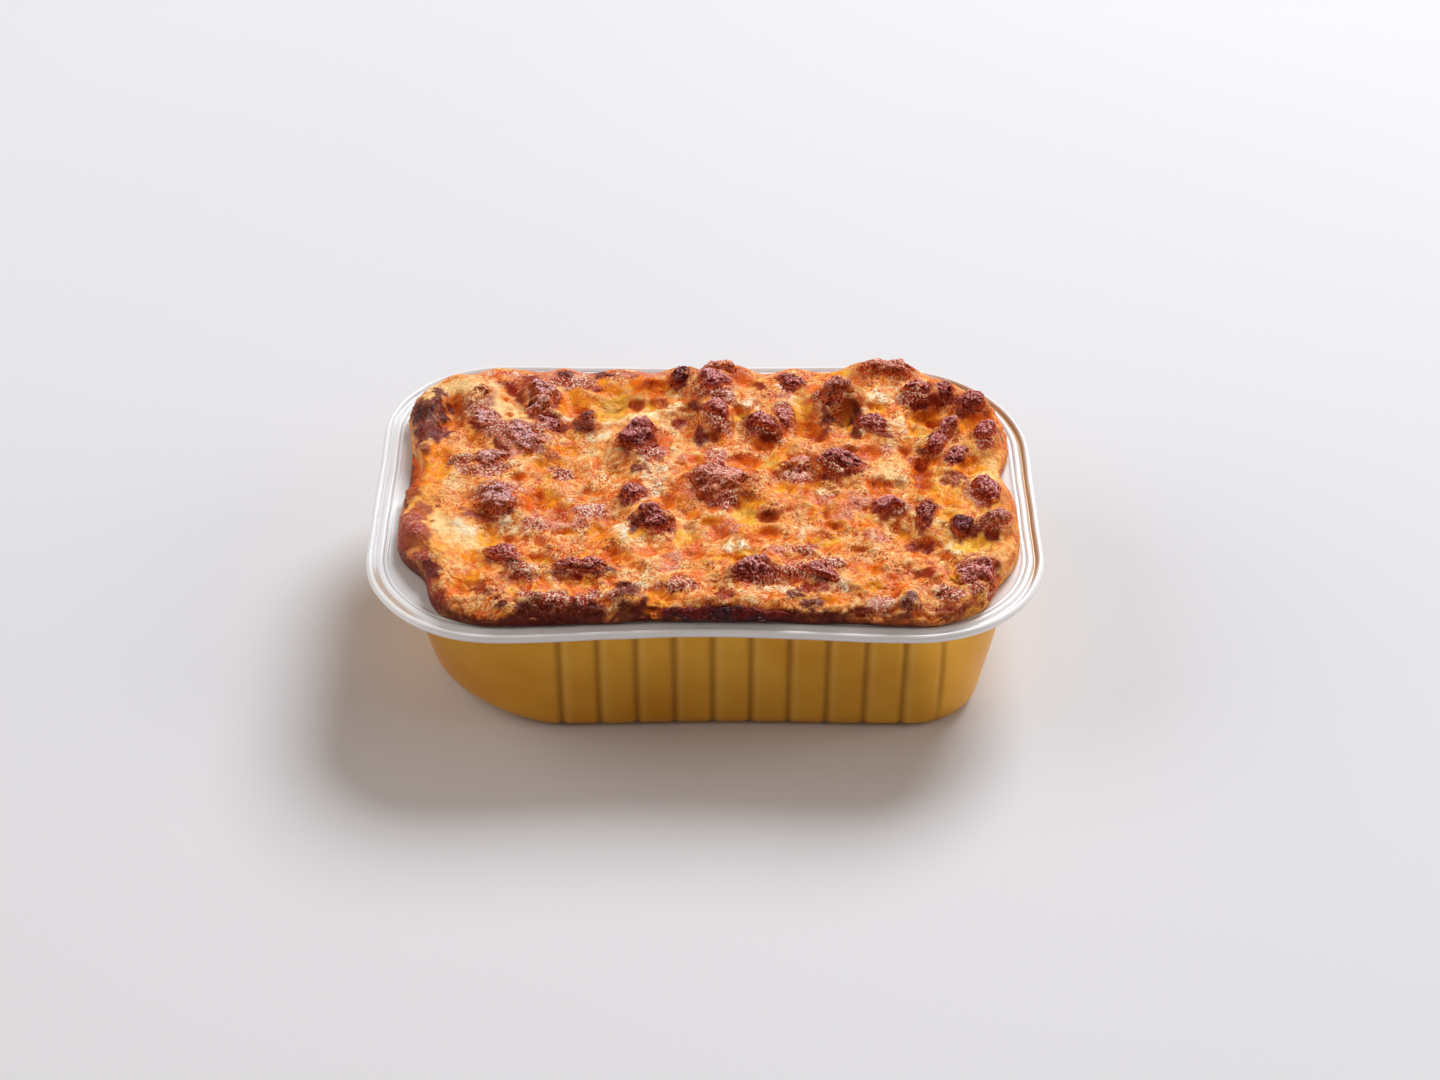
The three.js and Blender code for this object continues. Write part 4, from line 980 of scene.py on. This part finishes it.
def build_lumps(material):
    """All the lumps as one piece. Each rises out of the crust's own relief."""
    wide, fine = Noise(11), Noise(12)
    edge = food_edge()[0]
    all_points, all_faces = [], []
    looks = {"tint": [], "fleck_and_glint": [], "oil": [], "grit": []}
    start = 0
    for lump in LUMPS:
        n = lump["number"]
        reach = (np.arange(1, LUMP_RINGS) / (LUMP_RINGS - 1)) ** 0.75 * LUMP_REACH
        turn = np.arange(LUMP_ROUND) / LUMP_ROUND * 2 * math.pi
        reach, turn = [np.append(0, grid.ravel()) for grid in np.meshgrid(reach, turn, indexing="ij")]
        round_about = np.column_stack([np.cos(turn), np.sin(turn), np.full(len(turn), 3.7 * n)])
        uneven = 1 + 0.26 * wide.layers(round_about, 1.0, 2)
        local_x = lump["half"][0] * reach * uneven * np.cos(turn)
        local_y = lump["half"][1] * reach * uneven * np.sin(turn)
        cosine, sine = math.cos(math.radians(lump["turn"])), math.sin(math.radians(lump["turn"]))
        x = lump["at"][0] + local_x * cosine - local_y * sine
        y = lump["at"][1] + local_x * sine + local_y * cosine
        x, y, ground = on_crust(x, y, edge)
        stands, level = relief_at(np.column_stack([x, y, ground]))
        crown = smoothstep(reach, 1.12, 0.4)
        sunk = 2.4 * np.clip(reach - 1.0, 0, None) / (LUMP_REACH - 1.0) + 0.1
        heave = skirt(lump, reach)
        z = ground + stands * (1 - 0.5 * crown) + heave + crown * (lump["rise"] * (1 - SKIRT)) - sunk
        points = np.column_stack([x, y, z])
        count = len(points)
        rings = np.arange(count - 1).reshape(LUMP_RINGS - 1, LUMP_ROUND) + 1
        faces = stack_faces(rings)[:, ::-1]
        normal = normals_of(points, faces)
        normal[0] = (0, 0, 1)
        size = sum(lump["half"])
        shown = smoothstep(reach, 1.25, 0.85)
        bulge = wide.layers(points, 5.2, 2)
        ridge = wide.layers(points + 60, 2.8, 2)
        crag = fine.layers(points, 1.3, 2)
        height = shown * (0.075 * size * bulge + 0.03 * size * ridge + 0.42 * crag)
        points = points + normal * height[:, None]
        normal = normals_of(points, faces)
        normal[0] = (0, 0, 1)
        up = normal[:, 2]
        crust, fleck_and_glint, oil, grit = paint(points, up, level)
        top, flank = [PALETTE[colour] for colour in lump_look(n)]
        rough = 0.3 * bulge + 0.4 * ridge + 0.5 * crag
        raised = crown + 0.4 * rough
        tint = blend(PALETTE["deep"], flank, smoothstep(raised, 0.2, 0.6))
        # Top colour at the crown and on faces turned up and back toward the key lamp, flank colour
        # elsewhere: partly browned tops, partly painted light and shade by facing
        top_and_lit_face = smoothstep(0.9 * crown + 0.3 * rough + 0.5 * (up - 0.7) + 0.4 * normal[:, 1], 0.35, 0.85)
        tint = blend(tint, top, top_and_lit_face)
        bright = smoothstep(top @ LIGHTNESS, 0.03, 0.16)
        glint = smoothstep(0.6 * crag + 0.5 * wide.layers(points + 20, 1.6, 2), 0.1, 0.6) * top_and_lit_face * bright
        tint = blend(tint, lerp(top, GLINT, 0.6), 0.64 * glint)
        # Painted shade in the lumps' cracks
        tint = shaded(tint, CRACK_SHADE, smoothstep(rough, -0.3, -0.9))
        cheese = smoothstep(wide.layers(points + 120, 7.0, 2), 0.25, 0.6) * smoothstep(reach, 0.2, 0.7)
        own = smoothstep(reach + 0.35 * rough, 1.18, 0.8) * (1 - 0.8 * cheese)
        looks["tint"].append(blend(crust, tint, own))
        # Pale flecks on the lumps, partly painted glints, most on their tops
        looks["fleck_and_glint"].append(lerp(fleck_and_glint, 0.12 + 0.46 * top_and_lit_face * lerp(0.4, 1.0, bright), own))
        looks["oil"].append(lerp(oil, 0.3 * (1 - top_and_lit_face), own))
        looks["grit"].append(lerp(grit, 1.0, own))
        all_points.append(points)
        all_faces.extend((faces + start).tolist())
        first = rings[0] + start
        fan = np.column_stack([np.full(LUMP_ROUND, start), first, np.roll(first, -1)])
        all_faces.extend(fan.tolist())
        all_faces.append((rings[-1][::-1] + start).tolist())
        start += count
    attributes = {key: np.concatenate(rows) for key, rows in looks.items()}
    return piece(
        "mince_lumps", np.concatenate(all_points), all_faces, [material], None, attributes,
        stands_for=[lump["name"] for lump in LUMPS],
    )


# The crust


def food_back(edge):
    """How far in from the rim's outer edge the food is widest, at each point of the rim's outline"""
    x, y, angle = edge.T
    front = smoothstep(-np.sin(angle), 0.55, 0.98)
    return lerp(FOOD_REACH["other"], FOOD_REACH["front"], front) + hills(x, y, STANDS_BACK)


def flange_reach(edge):
    """How far in from the rim's outer edge the flange ends: past the food and the inside of the wall"""
    inside = lining_outline(WALL_TOP)
    angle = edge[:, 2]
    apart = (edge[:, 0] - inside[:, 0]) * np.cos(angle) + (edge[:, 1] - inside[:, 1]) * np.sin(angle)
    return np.maximum.reduce([np.full(len(edge), FLANGE_END), food_back(edge) + FLANGE_MARGIN, apart])


def food_edge():
    """Points round the food where it is widest: x, y, angle of the normal, and how far in from the rim
    they and the end of the flange lie"""
    edge = rim_outline()
    back = food_back(edge)
    wide = np.column_stack([inset(edge, back), back, flange_reach(edge)])
    closing = wide[:1] + [[0, 0, 2 * math.pi, 0, 0]]
    wide = np.concatenate([wide, closing])
    length = length_along(wide)
    corner_steps, long_steps, end_steps = [OUTLINE_STEPS[key] for key in ("corner", "long", "end")]
    sides = [corner_steps + steps for steps in (long_steps, end_steps, long_steps)]
    starts = np.cumsum([corner_steps // 2, *sides])
    corner = length[starts]
    corner = np.append(corner, corner[0] + length[-1])
    wanted = np.concatenate([
        np.linspace(corner[n], corner[n + 1], NET[side], endpoint=False)
        for n, side in enumerate(("along", "deep", "along", "deep"))
    ])
    lap = wanted >= length[-1]
    wanted = wanted - lap * length[-1]
    columns = [np.interp(wanted, length, column) for column in wide.T]
    return np.column_stack(columns), wanted / length[-1]


def build_crust_net():
    """Vertices, squares and how far round and up the side each vertex lies"""
    edge, share = food_edge()
    count = len(edge)
    back = edge[:, 3]
    rings = []
    for z in (FOOD_UNDERSIDE, 2.6, 6.0, 12.0, LINING_BEND):
        wall = inset(lining_outline(z), FOOD_GAP + (z == FOOD_UNDERSIDE))
        closed = np.concatenate([wall, wall[:1]])
        length = length_along(closed)
        place = [np.interp(share * length[-1], length, closed[:, k]) for k in (0, 1)]
        rings.append(np.column_stack([*place, np.full(count, z)]))
    lip = np.maximum(0.5, RIM_INSIDE - back)
    foot = inset(edge, np.maximum(lip + 1.6, edge[:, 4] + 2.4 - back))
    rings.append(np.column_stack([foot[:, :2], np.full(count, WALL_TOP - 1.2)]))
    for turn in np.linspace(-90, 90, SIDE_RINGS):
        up, out = math.sin(math.radians(turn)), 1 - math.cos(math.radians(turn))
        inward = out * (lip if turn < 0 else SHOULDER)
        level = WIDEST * (1 + up) if turn < 0 else lerp(WIDEST, 1.0, up)
        moved = inset(edge, inward)
        top = top_height(moved[:, 0], moved[:, 1])
        rings.append(np.column_stack([moved[:, :2], lerp(SIDE_FOOT, top, level)]))
    last = rings[-1]
    along, deep = NET["along"], NET["deep"]
    order = np.arange(count)
    back_row, left_row = order[along::-1], order[along:along + deep + 1][::-1]
    front_row, right_row = order[along + deep:2 * along + deep + 1], np.append(order[2 * along + deep:], 0)
    s = (np.arange(along + 1) / along)[:, None, None]
    t = (np.arange(deep + 1) / deep)[None, :, None]
    flat = last[:, :2]
    front, rear = flat[front_row][:, None], flat[back_row][:, None]
    left, right = flat[left_row][None], flat[right_row][None]
    ends = lerp(lerp(front[0, 0], front[-1, 0], s), lerp(rear[0, 0], rear[-1, 0], s), t)
    grid = lerp(front, rear, t) + lerp(left, right, s) - ends
    inner = grid[1:-1, 1:-1].reshape(-1, 2)
    inner = np.column_stack([inner, top_height(inner[:, 0], inner[:, 1])])
    points = np.concatenate([*rings, inner])
    numbers = np.arange(len(rings) * count).reshape(len(rings), count)
    net = np.zeros((along + 1, deep + 1), int)
    outer = numbers[-1]
    net[:, -1] = outer[back_row]
    net[0] = outer[left_row]
    net[:, 0] = outer[front_row]
    net[-1] = outer[right_row]
    net[1:-1, 1:-1] = numbers.size + np.arange(len(inner)).reshape(along - 1, deep - 1)
    squares = np.stack([net[:-1, :-1], net[1:, :-1], net[1:, 1:], net[:-1, 1:]], -1).reshape(-1, 4)
    return points, np.concatenate([stack_faces(numbers), squares]), numbers


def build_crust(material):
    points, faces, numbers = build_crust_net()
    normal = normals_of(points, faces)
    x, y, z = points.T
    flat_top = smoothstep(normal[:, 2], 0.5, 0.9)
    relief, level = relief_at(points)
    near = np.full(len(points), 9.0)
    for lump in LUMPS:
        apart = distance_in(x, y, *lump["at"], *lump["half"], lump["turn"])
        near = np.minimum(near, apart)
        relief = relief + skirt(lump, apart) * flat_top
        sunk = smoothstep(apart, 0.85, 0.5) * flat_top
        relief = relief * (1 - 0.6 * sunk) - 1.2 * sunk
    relief = np.where(z < RIM_TOP - 0.3, 0, relief * smoothstep(z, RIM_TOP, RIM_TOP + 2.5))
    points = points + normal * relief[:, None]
    normal = normals_of(points, faces)
    up = normal[:, 2]
    tint, fleck_and_glint, oil, grit = paint(points, up, level)
    # Painted contact shade in the crust about each lump
    contact_shade = smoothstep(near + 0.25 * TONE.layers(points + 90, FLECK_SIZE, 3), 1.4, 1.0) * flat_top
    tint = blend(tint, PALETTE["rust"], 0.45 * contact_shade)
    side = smoothstep(up, 0.6, 0.2)
    warm = hills(x, y, WARM_SIDES)
    streak = smoothstep(TONE.layers(points * [1, 1, 0.4] + 30, 6.0, 3) + 0.8 * warm, -0.4, 0.5)
    tint = blend(tint, blend(PALETTE["rust"], PALETTE["tan"], streak), (0.6 + 0.3 * warm) * side)
    # Painted shade on the side faces turned to the front, away from the key lamp, lighter brown toward the
    # right end
    shaded_front = side * smoothstep(-normal[:, 1], 0.3, 0.75) * smoothstep(x, -86, -66)
    shaded_front *= smoothstep(x, 84, 62)
    lighter = lerp(0.3, 0.8, smoothstep(x, 20, 50)) * streak
    tint = blend(tint, blend(PALETTE["mahogany"], PALETTE["brown"], lighter), 0.96 * shaded_front)
    # Painted shade along the foot of the side, where the food meets the rim: higher at the lower left,
    # weaker toward the right end
    lower_left = smoothstep(x, -60, -80) * smoothstep(y, 0, -25)
    foot_shade_top = RIM_TOP + 2.2 + 3.0 * lower_left + 1.6 * TONE.layers(points + 30, 6.0, 2)
    foot = smoothstep(z, foot_shade_top, foot_shade_top - 1.8)
    tint = blend(tint, PALETTE["mahogany"], lerp(0.8, 0.3, smoothstep(x, 50, 80)) * foot)
    attributes = {
        "tint": tint,
        "fleck_and_glint": fleck_and_glint * (1 - shaded_front),
        "oil": np.maximum(oil, 0.7 * shaded_front),
        "grit": grit * (1 - 0.7 * shaded_front),
    }
    polygons = faces.tolist()
    polygons.append(numbers[0][::-1].tolist())
    return piece(
        "crust", points, polygons, [material], None, attributes,
        stands_for=["lasagna"],
    )


# The burnt edge of a pasta sheet


BURNT_MESH = {"sections": 150, "around": 40}
BURNT_HALF = {"deep": 1.7, "high": 2.3}
BURNT_PLACE = {"back": 4.6, "up": 3.5}
BURNT_WAVE = 0.4


def build_burnt_edge(material):
    low, high = [np.array(corner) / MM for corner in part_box("burnt_pasta_edge")]
    sections, around = BURNT_MESH["sections"], BURNT_MESH["around"]
    noise = Noise(41)
    edge = rim_outline()
    front = edge[edge[:, 2] == 1.5 * math.pi]
    front = front[np.argsort(front[:, 0])]
    share = np.linspace(0, 1, sections)
    x = lerp(low[0], high[0], share)
    outer = np.interp(x, front[:, 0], front[:, 1])
    taper = np.sqrt(np.sin(math.pi * lerp(0.03, 0.97, share)))
    wave = 0.5 * np.sin(0.55 * x + 1) + 0.3 * np.sin(1.3 * x)
    wave *= BURNT_WAVE
    angle = np.arange(around) / around * 2 * math.pi
    rings = []
    for n in range(sections):
        rings.append(np.column_stack([
            np.full(around, x[n]),
            outer[n] + BURNT_PLACE["back"] + BURNT_HALF["deep"] * taper[n] * np.cos(angle) + wave[n],
            RIM_TOP + BURNT_PLACE["up"] + BURNT_HALF["high"] * taper[n] * np.sin(angle) + wave[n],
        ]))
    points = np.concatenate(rings)
    numbers = np.arange(len(points)).reshape(sections, around)
    faces = stack_faces(numbers)[:, ::-1]
    normal = normals_of(points, faces)
    bulge = noise.layers(points, 4.5, 2, fold=True)
    crag = noise.layers(points, 1.4, 3, fold=True)
    points = points + normal * (0.55 * bulge + 0.28 * crag)[:, None]
    char = smoothstep(noise.layers(points + 60, 7.0, 3) + 0.4 * normal[:, 2], -0.35, 0.45)
    tint = blend(PALETTE["maroon"], PALETTE["black"], char)
    # Mauve on up-facing crag tops: partly painted light on the tops
    top_and_lit_face = smoothstep(crag + 0.5 * normal[:, 2], 0.4, 0.9)
    tint = blend(tint, PALETTE["mauve"], 0.55 * top_and_lit_face)
    left_end = smoothstep(points[:, 0], low[0] + 4.5, low[0] + 1)
    tint = blend(tint, PALETTE["orange"], left_end)
    even = np.ones(len(points))
    attributes = {"tint": tint, "fleck_and_glint": 0.8 * top_and_lit_face, "oil": 0.3 * even, "grit": even}
    polygons = faces.tolist() + [numbers[0].tolist(), numbers[-1][::-1].tolist()]
    return piece(
        "burnt_edge", points, polygons, [material], None, attributes,
        stands_for=["burnt_pasta_edge"],
    )


# Floor, light and camera


# Floor and lamps in metres. Lamps: name, place, size, power in watts and colour.
FLOOR_REACH = 4.0
SKY = {"colour": (1.0, 0.84, 0.73, 1), "strength": 0.2}
LAMPS = [
    ("key_light", (0.95, 1.6, 1.95), 1.5, 74, (0.9, 0.95, 1.0)),
    ("left_light", (-1.9, 0.1, 1.2), 2.0, 20, (1.0, 0.94, 0.88)),
    ("right_light", (2.0, -0.1, 0.9), 1.4, 12, (1.0, 0.9, 0.8)),
]
LAMPS_AIM = (0, 0, 0.03)


def build_stage():
    mesh = bpy.data.meshes.new("floor")
    corners = [(FLOOR_REACH * x, FLOOR_REACH * y, 0) for x, y in ((-1, -1), (1, -1), (1, 1), (-1, 1))]
    mesh.from_pydata(corners, [], [(0, 1, 2, 3)])
    shader = Shader("pale_floor", Roughness=0.9)
    shade = shader.ramp(shader.noise(400.0, 1.0), 0.3, 0.7)
    shader.wire(shader.mix(shade, srgb(218, 218, 222), srgb(221, 221, 225)), "Base Color")
    mesh.materials.append(shader.material)
    floor = add_object("floor", mesh)

    world = bpy.data.worlds.new("studio")
    bpy.context.scene.world = world
    world.use_nodes = True
    back = world.node_tree.nodes["Background"]
    back.inputs["Color"].default_value = SKY["colour"]
    back.inputs["Strength"].default_value = SKY["strength"]

    for name, place, size, power, colour in LAMPS:
        data = bpy.data.lights.new(name, "AREA")
        data.shape = "DISK"
        data.size = size
        data.energy = power
        data.color = colour
        lamp = add_object(name, data)
        lamp.location = place
        lamp.rotation_euler = (Vector(LAMPS_AIM) - Vector(place)).to_track_quat("-Z", "Y").to_euler()


def build_camera():
    data = bpy.data.cameras.new("camera")
    data.sensor_width = SENSOR
    data.lens = FOCAL_PIXELS / PICTURE_WIDTH * SENSOR
    camera = add_object("camera", data)
    camera.location = [value * MM for value in CAMERA_PLACE]
    camera.rotation_euler = (math.radians(90 - CAMERA_PITCH), 0, 0)
    bpy.context.scene.camera = camera


build_camera()
build_stage()
bpy.context.scene.view_settings.view_transform = "Standard"
build_tray()
build_crust(food_material(
    "baked_crust", roughness=0.45, scatter=0.1, gloss=0.16, coarse=0.0, fleck=srgb(255, 228, 196),
))
build_lumps(food_material(
    "browned_mince", roughness=0.6, scatter=0.05, gloss=0.12, coarse=1.0, fleck=srgb(246, 212, 202),
))
build_burnt_edge(food_material(
    "burnt_sheet", roughness=0.55, scatter=0.0, gloss=0.2, coarse=1.0, fleck=srgb(200, 150, 140),
))
